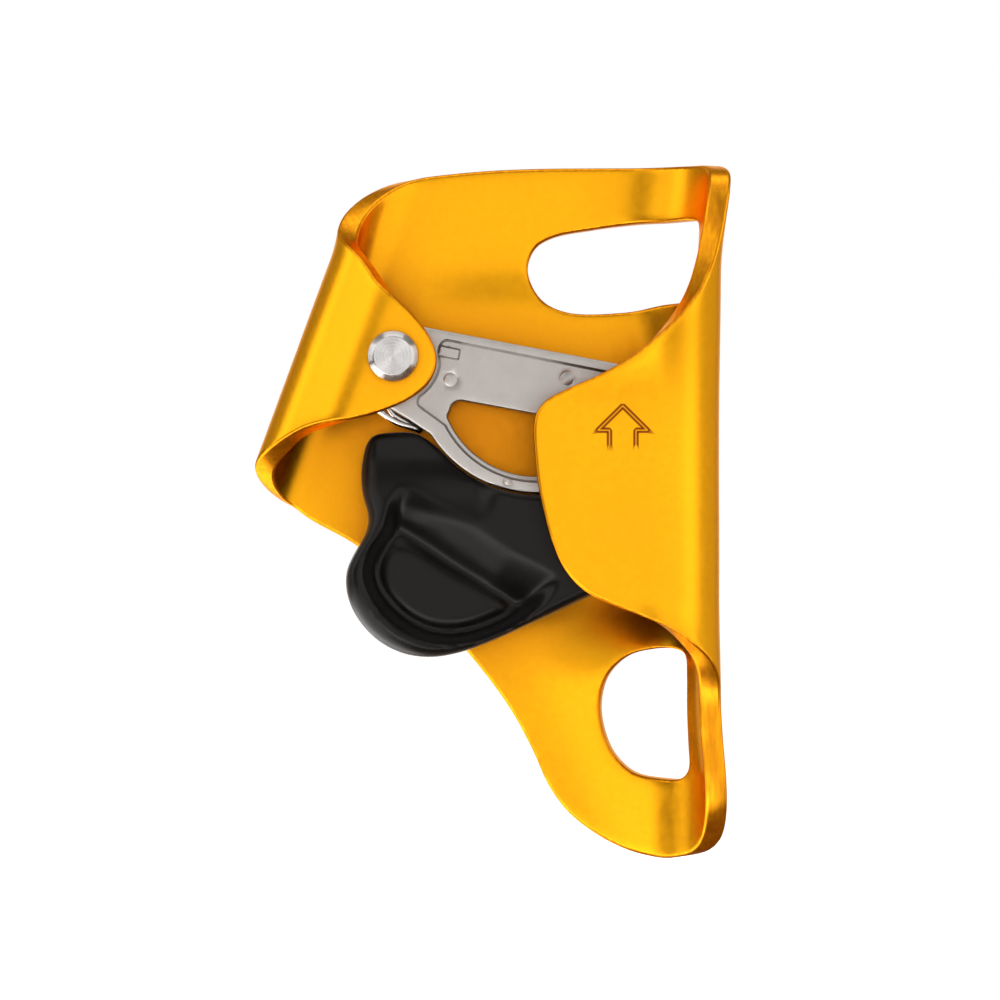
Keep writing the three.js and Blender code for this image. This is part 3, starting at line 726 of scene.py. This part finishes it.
def rolled_edge(border):
    """The rounding of the border's front edge, which is broader along the flap, mostly low down."""
    flap = smooth(border[:, 0], 27, 32)
    low_flap = flap * (1 - smooth(border[:, 1], 24, 34))
    width = 0.55 + 1.2 * flap + 0.9 * low_flap
    depth = 0.55 + 0.5 * flap + 1.3 * low_flap
    return rounding(width, depth, 8)


def frame_piece():
    border, upper, lower = (
        evenly(spline(line, 12), EDGE_SPACING) for line in (frame_border(), upper_hole(), lower_hole())
    )
    border = turned_left(border)
    axle_hole = circle(PIVOT, AXLE_HOLE_RADIUS)
    ear_hole = np.array([on_ear(x, z) for x, z in axle_hole])
    plain = rounding(0.5, 0.5)
    fine = rounding(0.25, 0.25)
    front = [rolled_edge(border), plain, plain, fine, fine]
    rear = [plain, plain, plain, [(COUNTERSINK, 0), (0, COUNTERSINK)], fine]
    arrow = up_arrow()
    placed_arrow = fold(arrow, HALF)

    def groove(gap, low, high):
        """How deep a place lies in the arrow's two fine lines, from its distance to their middle."""
        return 1 - smooth(np.abs(gap - ENGRAVED_HALF_WIDTH), low, high)

    def place(blank, side, drop):
        lift = HALF - drop
        wave = waviness(blank)
        if side > 0:
            sunk = groove(distance_to_line(blank, arrow), 0.04, 0.2) * ENGRAVED_DEPTH
            return fold(blank, lift - sunk + wave)
        return fold(blank, wave - lift)

    def engraved(points):
        """Where painted shade darkens the arrow's grooves, on the flap's front face only."""
        near = np.linalg.norm(points - placed_arrow.mean(axis=0), axis=1) < 7
        on_face = near & (points[:, 1] < placed_arrow[:, 1].max() + 0.5)
        gap = distance_to_line(points[:, [0, 2]], placed_arrow[:, [0, 2]])
        return groove(gap, 0.08, 0.24) * on_face

    offsets = [k * ENGRAVED_HALF_WIDTH / 2 for k in range(-4, 5)]
    extra = beside(arrow, offsets, 0.18, closed=False)
    rings = [border, upper, lower, axle_hole, ear_hole]
    return plate("folded_frame", rings, place, front, rear, FACE_SPACING, extra, {"engraved": engraved})


# ---- cam ----
CAM_RECESS_DEPTH = 1.6
CAM_BOSS_HEIGHT = 0.9
CAM_MARK_DEPTH = 0.09
CAM_FRONT_TAPER = 1.1
CAM_REAR_TAPER = 2.8
CAM_BOSS = [(-32.1, 53.9), (-29, 53.3), (-28.7, 54.9), (-31.8, 55.5)]
CAM_MARKS = [((-30.3, 50.4), 1.05), ((-12.8, 50.5), 1.0), ((-21.7, 35.2), 0.55)]
CAM_UNDERSIDE = [(-16, 33.3), (-13.2, 34.3), (-9.4, 35.1), (1.6, 35.5), (4, 35.6)]
CAM_SLOT = [(0, 40), (9, 40), (9, 47), (0, 47)]
CAM_SLOT_REAR = -6.9
CAM_SLOT_FRONT = -9.1


def gripping_face():
    """The tips and roots of the teeth, on a curve that moves away from the pivot as it goes down."""
    points = []
    for i in range(2 * TOOTH_COUNT + 1):
        share = i / (2 * TOOTH_COUNT)
        angle = math.radians(GRIP_START + GRIP_TURN * share)
        radius = GRIP_RADIUS + GRIP_GROWTH * share - (TOOTH_DEPTH if i % 2 else 0)
        points.append((PIVOT[0] + radius * math.cos(angle), PIVOT[1] + radius * math.sin(angle)))
    return points


def cam_border():
    hub = arc(PIVOT, 5.3, 190, 79, 24)
    lug = arc(PIN, 4.2, -20, -160, 18)
    rim = arc(RIM, RIM_RADIUS, -82, -148, 30)
    return np.vstack([
        hub, gripping_face(), [(1.6, 35.5), (0, 35.2), (-0.9, 33)], lug, [(-12.4, 31.2), (-13.4, 34)],
        rim, corner_rounded([(-36, 44.1), (-39.1, 46), (-41.6, 47.8), (-43.2, 50)], 1)[3:-3],
    ])


def cam_window():
    return corner_rounded(np.vstack([
        [(-28.9, 47.4), (-30.1, 46.8), (-30.4, 45.6)],
        arc(WINDOW, WINDOW_RADIUS, -158, -62, 24),
        [(-9.2, 39.2), (-8.6, 41.6), (-9.6, 43.3), (-11.2, 44.1)],
    ]), 0.6)


def cam_recess():
    return corner_rounded(np.vstack([
        [(-31.2, 56.4), (-32.2, 54.9)],
        arc(PIVOT, 6.9, -8, -58, 12),
        [(-35.3, 46.6), (-31, 43.5)],
        arc(WINDOW, WINDOW_RADIUS + 0.8, -152, -62, 24),
        [(-6.6, 38.6), (-5.6, 41), (-5.2, 50.2), (-6.4, 51.5)],
    ]), 0.7)


def between(front, rear):
    """plate()'s place for a piece that lies between two depths, given as rules for flat points."""
    def place(flat, side, drop):
        depth = front(flat) + drop if side > 0 else rear(flat) - drop
        return np.stack([flat[:, 0], depth, flat[:, 1]], axis=1)

    return place


def cam_piece():
    border = with_corners(turned_left(cam_border()), 0.45)
    window = evenly(cam_window(), 0.4)
    bore = circle(PIVOT, BUSH_OUTER + GAP)
    pin_hole = circle(PIN, PIN_RADIUS + GAP)
    recess = cam_recess()
    boss = corner_rounded(CAM_BOSS, 0.3)
    room = circle(PIVOT, SPRING_ROOM_RADIUS)
    underside = np.array(CAM_UNDERSIDE)

    def near_teeth(flat):
        return smooth(flat[:, 0], -4.4, 3.4)

    def with_lug(flat, depth, lug_depth):
        """The depths, changed to the thin lug's below the cam's underside."""
        below = np.interp(flat[:, 0], underside[:, 0], underside[:, 1]) - flat[:, 1]
        beside_lug = (flat[:, 0] > -14.5) & (flat[:, 0] < 3)
        lug = np.where(beside_lug, smooth(below, -0.15, 0.25), 0)
        return depth * (1 - lug) + lug_depth * lug

    def front(flat):
        depth = CAM_FRONT + CAM_FRONT_TAPER * near_teeth(flat)
        sunk = smooth(depth_inside(flat, recess), -0.14, 0.26)
        raised = smooth(depth_inside(flat, boss), -0.1, 0.2)
        depth = depth + sunk * (CAM_RECESS_DEPTH - CAM_BOSS_HEIGHT * raised)
        for middle, radius in CAM_MARKS:
            gap = np.abs(np.linalg.norm(flat - middle, axis=1) - radius)
            depth = depth + CAM_MARK_DEPTH * (1 - smooth(gap, 0.03, 0.22))
        return with_lug(flat, depth, LUG_FRONT)

    def rear(flat):
        depth = CAM_REAR - CAM_REAR_TAPER * near_teeth(flat)
        beyond_room = np.linalg.norm(flat - PIVOT, axis=1) - SPRING_ROOM_RADIUS
        in_room = 1 - smooth(beyond_room, -0.15, 0.1)
        depth = depth * (1 - in_room) + SPRING_ROOM_FRONT * in_room
        return with_lug(flat, depth, LUG_REAR)

    extra = np.vstack([
        beside(recess, (-0.3, -0.13, 0.05, 0.24, 0.42), 0.35),
        beside(boss, (-0.22, -0.08, 0.06, 0.2), 0.3),
        beside(room, (-0.2, -0.05, 0.1, 0.25), 0.6),
        beside(CAM_UNDERSIDE, (-0.3, -0.12, 0.06, 0.24), 0.5, closed=False),
        *[beside(circle(middle, radius, 0.2), (-0.22, -0.11, 0, 0.11, 0.22), 0.25)
          for middle, radius in CAM_MARKS],
    ])
    toothless = np.clip(distance_to_line(border, gripping_face()), 0, 0.5)
    inset = 0.12 + 0.5 * toothless
    edges = [
        rounding(inset, inset, 4), rounding(0.3, 0.3, 4), rounding(0.3, 0.3, 3), rounding(0.2, 0.2, 3),
    ]
    rings = [border, window, bore, pin_hole]
    body = plate("cast_cam", rings, between(front, rear), edges, edges, 0.8, extra)
    return cut_away(body, prism_solid("slot", CAM_SLOT, CAM_SLOT_REAR, CAM_SLOT_FRONT))


def prism_solid(name, outline, rear, front):
    """A straight solid over an outline, between two depths."""
    outline = turned_left(np.array(outline, float))
    count = len(outline)
    points = [(x, depth, z) for depth in (front, rear) for x, z in outline]
    ends = [list(range(count)), list(range(2 * count - 1, count - 1, -1))]
    return new_piece(name, points, bands([0, count], count) + ends)


# ---- catch ----
CATCH_RIDGE = [(-36.2, 36), (-29.2, 31.4), (-20.8, 25.4), (-13.4, 22)]
CATCH_POCKET = [
    (-37.4, 34.8), (-39.3, 32.4), (-39.8, 30.4), (-40.4, 27.9), (-42.2, 25), (-43.1, 22.4), (-42.9, 19.9),
    (-41.5, 17), (-38.2, 13.5), (-34, 11.3), (-30.6, 10.8), (-27, 11.2), (-20.9, 13.6), (-15.7, 17.9),
    (-13.8, 20.4), (-14.6, 22), (-23, 27.4), (-30, 32.4),
]
CATCH_PAD = [
    (-38.5, 26.2), (-40.5, 24.3), (-41, 22), (-40.2, 19), (-38.1, 16.4), (-35.4, 14.4), (-32.2, 13.3),
    (-28, 13.4), (-23.8, 14.9), (-21.9, 16), (-22.4, 17.3), (-30.5, 22),
]
LUG_ROOM = [(-16, 34.6), (-13.2, 26.5), (-10, 22.4), (-3, 21.4), (3, 24), (3, 40), (-12, 40)]
LUG_ROOM_FRONT = -12.1
HEEL_DROP = 3.9
SCOOP_LENGTH = 7.2
SCOOP_DEPTH = 4.8
SCOOP_POWER = 1.6
PAD_HEIGHT = 1.4


def catch_border():
    upper_left = [(-40, 42.5), (-41.8, 42.2), (-42.9, 41)]
    left = [(-43.8, 36.5), (-43.5, 32.9), (-42.6, 29.8), (-42.9, 27.6), (-44.6, 24.6), (-45.9, 21.6)]
    bottom = [
        (-45.8, 18), (-44.3, 14.6), (-41.4, 11.4), (-37.6, 9.4), (-33.6, 8.8), (-29.8, 9.3), (-25.4, 10.7),
        (-17.8, 14), (-9.4, 18), (-4.4, 20.6), (-1.4, 23.6),
    ]
    pin_end = arc(PIN, 4.8, -28, 118, 10)
    cam_side = arc(RIM, RIM_RADIUS + CATCH_GAP, -84, -140, 10)
    return np.vstack([
        upper_left, left, bottom, pin_end, [(-11.8, 32.6)], cam_side, [(-33.9, 41.6), (-35.6, 42.5)],
    ])


def catch_edges(border):
    """Roundings of the front and rear edges: broad where the edge faces down left, fine at the cam.

    The rear one is broad at the upper left, where the catch swings past the inside of the curl."""
    def facing(across, up):
        return np.clip(-inward(border) @ np.array([across, up]), 0, 1)

    low_left = facing(-0.75, -0.66) ** 2
    cam_side = facing(0.6, 0.8)
    width = 1.1 + 2.1 * low_left - 0.55 * cam_side
    depth = 2.6 + 2.6 * low_left - 1.6 * cam_side
    rear = 0.6 + 2.4 * facing(-0.9, 0.44)
    return rounding(width, depth, 8), rounding(rear, rear, 4)


def catch_piece():
    border = turned_left(evenly(spline(catch_border(), 10), 0.5))
    pocket = evenly(spline(CATCH_POCKET, 8), 0.5)
    pad = evenly(spline(CATCH_PAD, 8), 0.5)

    def front(flat):
        x, z = flat[:, 0], flat[:, 1]
        heel = smooth(z, 28.5, 39) * (1 - smooth(x, -27, -23))
        wall = smooth(depth_inside(flat, pocket), -0.2, 1.9)
        scoop = np.clip(distance_to_line(flat, CATCH_RIDGE) / SCOOP_LENGTH, 0, 1) ** SCOOP_POWER
        on_pad = smooth(depth_inside(flat, pad), -1.2, 1.2)
        sunk = wall * scoop * (SCOOP_DEPTH - PAD_HEIGHT * on_pad)
        return CATCH_FRONT + 0.25 + HEEL_DROP * heel + sunk

    def rear(flat):
        return np.full(len(flat), CATCH_REAR)

    front_edge, rear_edge = catch_edges(border)
    body = plate("moulded_catch", [border], between(front, rear), [front_edge], [rear_edge], 0.36)
    soften(body, 0.5, 8)
    room = prism_solid("lug_room", LUG_ROOM, LUG_REAR + GAP, LUG_ROOM_FRONT)
    hole = circle(PIN, PIN_RADIUS + GAP)
    pin_hole = prism_solid("pin_hole", hole, PIN_REAR + 0.5, PIN_FRONT - GAP)
    return cut_away(body, room, pin_hole)


# ---- small pieces ----
def on_axis(axis, depth):
    """A place in metres on one of the axes, which run along Y."""
    return (axis[0] * MM, depth * MM, axis[1] * MM)


def rivet_piece():
    """The axle, with a turned head in front of the ear and its rear end spread into the countersink.

    Its mesh stands on the Y axis, so that the material's fine rings run round it."""
    seat = EAR_FRONT - RUNNING_GAP
    profile = [
        (0, PEEN_REAR), (PEEN_RADIUS, PEEN_REAR), (PEEN_RADIUS, PEEN_REAR - 0.15), (AXLE_RADIUS, -0.15),
        (AXLE_RADIUS, seat), (HEAD_RADIUS - 0.2, seat), (HEAD_RADIUS, seat - 0.25),
        (HEAD_RADIUS - 0.03, seat - 0.6), (HEAD_RADIUS - 0.7, seat - 1.25),
        (HEAD_RADIUS - 0.9, seat - 1.38), (0, seat - 1.33),
    ]
    piece = turned("axle_rivet_turned", profile, (0, 0), 128, 0.18)
    piece.location = on_axis(PIVOT, 0)
    return piece


def rear_washer_piece():
    return ring_piece("rear_washer_ring", REAR_WASHER_RADIUS, -HALF - GAP, REAR_WASHER_FRONT)


def front_washer_piece():
    return ring_piece("front_washer_ring", FRONT_WASHER_RADIUS, CAM_FRONT - RUNNING_GAP, EAR_REAR + GAP)


def bush_piece():
    return ring_piece("cam_bush_ring", BUSH_OUTER, BUSH_REAR, CAM_FRONT + 0.1)


def pin_piece():
    end = PIN_RADIUS - PIN_BREAK
    profile = [
        (0, PIN_REAR), (end, PIN_REAR), (PIN_RADIUS, PIN_REAR - PIN_BREAK),
        (PIN_RADIUS, PIN_FRONT + PIN_BREAK), (end, PIN_FRONT), (0, PIN_FRONT),
    ]
    return turned("catch_pin_turned", profile, PIN, 48, 0.08)


def liner_piece():
    """The steel liner of the rope channel: a U of thin sheet."""
    outer = CHANNEL_RADIUS - HALF - GAP
    inner = outer - LINER_SHEET
    centre = (CHANNEL_WALL_X - CHANNEL_RADIUS, -CHANNEL_RADIUS)
    section = np.vstack([
        [(LINER_LEG_END, centre[1] + outer)],
        arc(centre, outer, 90, -90, 48),
        [(LINER_LEG_END, centre[1] - outer), (LINER_LEG_END, centre[1] - inner)],
        arc(centre, inner, -90, 90, 48),
        [(LINER_LEG_END, centre[1] + inner)],
    ])

    def place(flat, side, drop):
        height = LINER_HIGH - drop if side > 0 else LINER_LOW + drop
        return np.stack([flat[:, 0], flat[:, 1], np.broadcast_to(height, len(flat))], axis=1)

    edge = rounding(0.15, 0.15, 3)
    piece = plate("channel_liner", [with_corners(section, 0.6)], place, [edge], [edge], 0.8)
    sharp_by_angle(piece, 50)
    return piece


def coil(centre, radius, rear, front, start, turns):
    """Points along the turns of a spring, from its rear end to its front end."""
    share = np.linspace(0, 1, round(turns * 40) + 1)[::4]
    angle = math.radians(start) + 2 * math.pi * turns * share
    return np.stack([
        centre[0] + radius * np.cos(angle),
        rear + (front - rear) * share,
        centre[1] + radius * np.sin(angle),
    ], axis=1)


def cam_spring_piece():
    turns = coil(PIVOT, 4.4, CAM_SPRING_REAR, CAM_SPRING_FRONT, 90, 2.42)
    frame_leg = [(-47, CAM_SPRING_REAR, 57), (-44.6, CAM_SPRING_REAR, 58.15)]
    cam_leg = [
        (-39, -6.2, 45.4), (-36.9, -6.25, 44.05), (-35.5, -6.3, 43.2), (-34.95, -6.85, 42.9),
        (-35.5, -7.4, 43.15), (-38.4, -7.45, 44.1), (-41.3, -7.45, 46),
    ]
    path = spline(np.vstack([frame_leg, turns, cam_leg]), 6, closed=False)
    return tube("cam_spring_wire", path, 0.45)


def catch_spring_piece():
    turns = coil(PIN, 2.4, CATCH_SPRING_REAR, CATCH_SPRING_FRONT, 100, 2.3)
    cam_leg = [(-1.2, CATCH_SPRING_REAR, 33)]
    catch_leg = [(-8.4, CATCH_SPRING_FRONT, 26.2), (-10.4, CATCH_SPRING_FRONT, 25.2)]
    path = spline(np.vstack([cam_leg, turns, catch_leg]), 5, closed=False)
    return tube("catch_spring_wire", path, 0.3, 12)


# ---- materials ----
class Nodes:
    """A material's nodes, with short ways to add and join them."""

    def __init__(self, name):
        self.material = bpy.data.materials.new(name)
        self.material.use_nodes = True
        self.tree = self.material.node_tree
        self.shader = self.tree.nodes["Principled BSDF"]
        self.place = self.add("ShaderNodeTexCoord").outputs["Object"]

    def add(self, kind, values=None, **settings):
        """A node of a kind, with its settings and the values of its unlinked inputs."""
        node = self.tree.nodes.new(kind)
        for key, value in settings.items():
            setattr(node, key, value)
        for key, value in (values or {}).items():
            node.inputs[key].default_value = value
        return node

    def link(self, source, target):
        self.tree.links.new(source, target)

    def noise(self, scale, detail, stretch=(1, 1, 1)):
        mapping = self.add("ShaderNodeMapping", {"Scale": stretch})
        self.link(self.place, mapping.inputs["Vector"])
        node = self.add("ShaderNodeTexNoise", {"Scale": scale, "Detail": detail})
        self.link(mapping.outputs["Vector"], node.inputs["Vector"])
        return node.outputs["Fac"]

    def attribute(self, name):
        return self.add("ShaderNodeAttribute", attribute_name=name).outputs["Fac"]

    def spread(self, value, low, high, to_low, to_high):
        ends = {"From Min": low, "From Max": high, "To Min": to_low, "To Max": to_high}
        node = self.add("ShaderNodeMapRange", ends)
        self.link(value, node.inputs["Value"])
        return node.outputs["Result"]

    def mixed(self, share, one, two):
        """Between two colours, each given as a colour or an output."""
        node = self.add("ShaderNodeMix", data_type="RGBA")
        factor, first, second = node.inputs[0], node.inputs[6], node.inputs[7]
        for socket, value in ((first, one), (second, two)):
            if isinstance(value, tuple):
                socket.default_value = (*value, 1)
            else:
                self.link(value, socket)
        self.link(share, factor)
        return node.outputs[2]

    def shades(self, value, dark, light, low=0.3, high=0.7):
        """From the dark colour to the light one, as the value goes from low to high."""
        return self.mixed(self.spread(value, low, high, 0, 1), dark, light)

    def painted_hollow_shade(self, reach, most):
        """Painted shade for a place shut in by what is near it, from 0 in the open up to most."""
        node = self.add("ShaderNodeAmbientOcclusion", {"Distance": reach}, samples=6)
        return self.spread(node.outputs["AO"], 0.35, 0.95, most, 0)

    def bump(self, *layers):
        """Bump from (height, strength, depth in metres) layers, the later ones on the earlier."""
        normal = None
        for height, strength, distance in layers:
            node = self.add("ShaderNodeBump", {"Strength": strength, "Distance": distance})
            self.link(height, node.inputs["Height"])
            if normal is not None:
                self.link(normal, node.inputs["Normal"])
            normal = node.outputs["Normal"]
        self.link(normal, self.shader.inputs["Normal"])

    def surface(self, colour, roughness, **numbers):
        """Gives the shader its colour and roughness, and numbers for its other sockets."""
        self.link(colour, self.shader.inputs["Base Color"])
        self.link(roughness, self.shader.inputs["Roughness"])
        self.set(**numbers)

    def set(self, **numbers):
        for key, value in numbers.items():
            self.shader.inputs[key.replace("_", " ")].default_value = value


def gold_aluminium():
    """Satin gold anodising over blasted sheet. The cut edges are streaked and carry painted shade that
    darkens them; painted shade also darkens the arrow's grooves and the places shut in by folds and nearby
    parts.
    """
    nodes = Nodes("gold_aluminium")
    grain = nodes.noise(5200, 2)
    mottle = nodes.noise(900, 4)
    broad = nodes.noise(70, 2)
    streak = nodes.noise(1500, 4, (1, 1, 0.06))
    # The edge rows get a streaked cut-edge colour, with painted shade that makes it darker brown.
    edge = nodes.spread(nodes.attribute("edge"), 0, 1, 0, 0.75)
    face = nodes.shades(mottle, (0.8, 0.36, 0.003), (0.86, 0.4, 0.004))
    face = nodes.mixed(nodes.spread(broad, 0.35, 0.65, 0, 0.35), face, (0.78, 0.34, 0.003))
    rim = nodes.shades(streak, (0.58, 0.18, 0.004), (0.84, 0.33, 0.005), 0.35, 0.65)
    colour = nodes.mixed(edge, face, rim)
    # Painted shade in the arrow's engraved grooves: a deep red-brown.
    colour = nodes.mixed(nodes.attribute("engraved"), colour, (0.16, 0.02, 0.002))
    # Painted shade: the colour turns dark red-brown where the sheet is shut in by folds and nearby parts.
    colour = nodes.mixed(nodes.painted_hollow_shade(0.013, 0.7), colour, (0.38, 0.085, 0.003))
    nodes.surface(
        colour, nodes.spread(mottle, 0.25, 0.75, 0.3, 0.37),
        Metallic=1.0, Specular_Tint=(1.0, 0.72, 0.4, 1), Coat_Weight=0.09, Coat_Roughness=0.34,
    )
    nodes.bump((mottle, 0.12, 0.00006), (grain, 0.16, 0.00003))
    return nodes.material


def cast_steel():
    """Investment cast steel, lightly blasted, with fine polishing lines along it."""
    nodes = Nodes("cast_steel")
    grain = nodes.noise(4200, 3)
    cloud = nodes.noise(420, 4)
    lines = nodes.noise(3200, 2, (0.05, 1, 1))
    colour = nodes.shades(cloud, (0.39, 0.377, 0.36), (0.45, 0.437, 0.42))
    nodes.surface(colour, nodes.spread(cloud, 0.3, 0.7, 0.36, 0.46), Metallic=1.0)
    nodes.bump((lines, 0.22, 0.00004), (grain, 0.3, 0.00004))
    return nodes.material


def turned_steel():
    """Bright turned steel: fine rings round the axis, which runs along Y through the origin."""
    nodes = Nodes("turned_steel")
    fineness = {"Scale": 620, "Distortion": 0.6, "Detail": 2}
    rings = nodes.add("ShaderNodeTexWave", fineness, wave_type="RINGS", rings_direction="Y")
    nodes.link(nodes.place, rings.inputs["Vector"])
    cloud = nodes.noise(700, 3)
    colour = nodes.shades(cloud, (0.45, 0.446, 0.442), (0.527, 0.523, 0.52))
    rough = nodes.spread(cloud, 0.3, 0.7, 0.24, 0.33)
    nodes.surface(colour, rough, Metallic=1.0, Anisotropic=0.85, Anisotropic_Rotation=0.25)
    tangent = nodes.add("ShaderNodeTangent", direction_type="RADIAL", axis="Y")
    nodes.link(tangent.outputs["Tangent"], nodes.shader.inputs["Tangent"])
    nodes.bump((rings.outputs["Fac"], 0.3, 0.00003))
    return nodes.material


def plain_metal(name, dark, light, low_rough, high_rough, stretch=(1, 1, 1)):
    nodes = Nodes(name)
    cloud = nodes.noise(600, 4)
    grain = nodes.noise(3800, 3, stretch)
    rough = nodes.spread(cloud, 0.3, 0.7, low_rough, high_rough)
    nodes.surface(nodes.shades(cloud, dark, light), rough, Metallic=1.0)
    nodes.bump((grain, 0.15, 0.00003))
    return nodes.material


def black_plastic():
    """Satin moulded plastic with a fine spark-eroded grain."""
    nodes = Nodes("black_plastic")
    grain = nodes.noise(3600, 4)
    cloud = nodes.noise(260, 4)
    nodes.surface(
        nodes.shades(cloud, (0.0016, 0.0014, 0.0012), (0.003, 0.0026, 0.0023)),
        nodes.spread(cloud, 0.3, 0.7, 0.29, 0.37),
        Metallic=0.0, IOR=1.42, Specular_IOR_Level=0.235, Sheen_Weight=0.08, Sheen_Roughness=0.36,
    )
    nodes.bump((grain, 0.22, 0.00004))
    return nodes.material


def pale_floor():
    """A pale matt floor that also gives some light, so that it meets the white surround."""
    nodes = Nodes("pale_floor")
    nodes.set(Base_Color=(0.95, 0.95, 0.95, 1), Roughness=0.9)
    nodes.set(Emission_Color=(1, 1, 1, 1), Emission_Strength=0.8)
    return nodes.material


# ---- putting the pieces on their bodies ----
def dress(piece, material, node):
    piece.data.materials.clear()
    piece.data.materials.append(material)
    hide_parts(node)


def finish_piece(piece, material, body, node):
    dress(piece, material, node)
    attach(piece, body)


def finish_spring(piece, node):
    """A torsion spring: dressed in wire metal, its CAD node hidden, and left on no body with its placing
    baked into its mesh.
    """
    dress(piece, wire_metal, node)
    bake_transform(piece)


gold = gold_aluminium()
steel = cast_steel()
bright = turned_steel()
washer_metal = plain_metal("washer_steel", (0.6, 0.6, 0.59), (0.72, 0.72, 0.71), 0.3, 0.42)
bush_metal = plain_metal("bronze", (0.55, 0.36, 0.15), (0.7, 0.5, 0.24), 0.32, 0.45)
wire_metal = plain_metal("spring_wire", (0.62, 0.61, 0.6), (0.78, 0.77, 0.76), 0.18, 0.28)
liner_metal = plain_metal("stainless_sheet", (0.6, 0.6, 0.58), (0.74, 0.74, 0.72), 0.24, 0.36, (1, 1, 0.05))
plastic = black_plastic()

finish_piece(frame_piece(), gold, "frame_body", "frame")
finish_piece(liner_piece(), liner_metal, "frame_body", "wear_plate")
finish_piece(rivet_piece(), bright, "frame_body", "axle_rivet")
finish_piece(rear_washer_piece(), washer_metal, "frame_body", "rear_washer")
finish_piece(front_washer_piece(), washer_metal, "frame_body", "front_washer")
finish_piece(cam_piece(), steel, "cam_body", "cam")
finish_piece(bush_piece(), bush_metal, "cam_body", "cam_bush")
finish_piece(catch_piece(), plastic, "catch_body", "catch")
finish_piece(pin_piece(), bright, "cam_body", "catch_pin")
finish_spring(
    cam_spring_piece(), "cam_spring",
)
finish_spring(
    catch_spring_piece(), "catch_spring",
)


# ---- floor, light and camera ----
FLOOR_Z = -0.09
FLOOR_HALF_WIDTH = 6.0
OBJECT_MIDDLE = Vector((-0.024, -0.008, 0.03))
SOFTBOX_DISTANCE = 0.8
CAMERA_DISTANCE = 0.6
CAMERA_X = -0.02283
CAMERA_Z = 0.03242
PICTURE_WIDTH = 0.1522

# Each softbox: name, azimuth, elevation, width and height as angles, brightness.
SOFTBOXES = [
    ("front", -4, 2, 26, 24, 1.48),
    ("key", -38, 30, 46, 32, 1.12),
    ("low_left", -20, -18, 24, 26, 1.6),
    ("low_side", -54, -36, 32, 30, 1.3),
    ("left_near", -60, 21, 30, 32, 1.1),
    ("left_side", -87, 12, 22, 44, 2.1),
    ("left_rear", -126, 10, 30, 50, 0.29),
    ("left_under", -112, -42, 80, 44, 2.6),
    ("under", -16, -34, 56, 16, 4.4),
    ("right_near", 33, 5, 50, 55, 1.39),
    ("right_side", 71, 5, 26, 55, 1.9),
    ("right_rear", 112, 5, 56, 50, 0.64),
    ("behind", 180, 8, 64, 60, 1.04),
    ("top", 0, 75, 50, 40, 1.39),
]

# The surround's colours by height: 0 is straight below, 0.5 level and 1 straight above.
SURROUND = [
    (0.0, (0.3, 0.2, 0.14)),
    (0.36, (0.16, 0.095, 0.06)),
    (0.5, (0.12, 0.07, 0.045)),
    (0.7, (0.2, 0.15, 0.12)),
    (1.0, (0.5, 0.47, 0.45)),
]


def floor():
    mesh = bpy.data.meshes.new("floor")
    with editing(mesh) as shape:
        bmesh.ops.create_grid(shape, x_segments=8, y_segments=8, size=FLOOR_HALF_WIDTH)
    mesh.materials.append(pale_floor())
    piece = in_scene("floor", mesh)
    piece.location = (0, 0, FLOOR_Z)
    piece.visible_glossy = False


def softbox(name, azimuth, elevation, across, up, brightness):
    """A panel seen from the object at an azimuth (0 at the camera, 90 to the right) and elevation.

    across and up are the angles it covers, and brightness is its radiance, so that a mirror facing
    it shows that value."""
    width, height = (2 * SOFTBOX_DISTANCE * math.tan(math.radians(angle / 2)) for angle in (across, up))
    lamp = bpy.data.lights.new(name, "AREA")
    lamp.shape = "RECTANGLE"
    lamp.size = width
    lamp.size_y = height
    lamp.energy = math.pi * width * height * brightness
    turn, rise = math.radians(azimuth), math.radians(elevation)
    away = Vector((math.sin(turn) * math.cos(rise), -math.cos(turn) * math.cos(rise), math.sin(rise)))
    piece = in_scene(name, lamp)
    piece.location = OBJECT_MIDDLE + away * SOFTBOX_DISTANCE
    piece.rotation_euler = (-away).to_track_quat("-Z", "Y").to_euler()
    piece.visible_camera = False


def studio_world():
    """White to the eye, and a soft grey surround for the reflections."""
    world = bpy.data.worlds.new("studio")
    bpy.context.scene.world = world
    world.use_nodes = True
    tree = world.node_tree
    add = tree.nodes.new
    tree.nodes.clear()
    seen = add("ShaderNodeLightPath")
    white = add("ShaderNodeBackground")
    white.inputs["Color"].default_value = (1, 1, 1, 1)
    surround = add("ShaderNodeBackground")
    direction = add("ShaderNodeTexCoord")
    parts = add("ShaderNodeSeparateXYZ")
    height = add("ShaderNodeMapRange")
    height.inputs["From Min"].default_value = -1
    ramp = add("ShaderNodeValToRGB")
    while len(ramp.color_ramp.elements) < len(SURROUND):
        ramp.color_ramp.elements.new(0.5)
    for stop, (position, colour) in zip(ramp.color_ramp.elements, SURROUND):
        stop.position = position
        stop.color = (*colour, 1)
    both = add("ShaderNodeMixShader")
    output = add("ShaderNodeOutputWorld")
    for one, given, other, taken in (
        (direction, "Generated", parts, "Vector"),
        (parts, "Z", height, "Value"),
        (height, "Result", ramp, "Fac"),
        (ramp, "Color", surround, "Color"),
        (seen, "Is Camera Ray", both, "Fac"),
        (surround, "Background", both, 1),
        (white, "Background", both, 2),
        (both, "Shader", output, "Surface"),
    ):
        tree.links.new(one.outputs[given], other.inputs[taken])


def camera():
    seen = bpy.data.cameras.new("camera")
    seen.lens = seen.sensor_width * CAMERA_DISTANCE / PICTURE_WIDTH
    seen.clip_start = 0.01
    piece = in_scene("camera", seen)
    piece.location = (CAMERA_X, -CAMERA_DISTANCE, CAMERA_Z)
    piece.rotation_euler = (math.radians(90), 0, 0)
    bpy.context.scene.camera = piece


floor()
studio_world()
for row in SOFTBOXES:
    softbox(*row)
camera()
bpy.context.scene.view_settings.view_transform = "Standard"
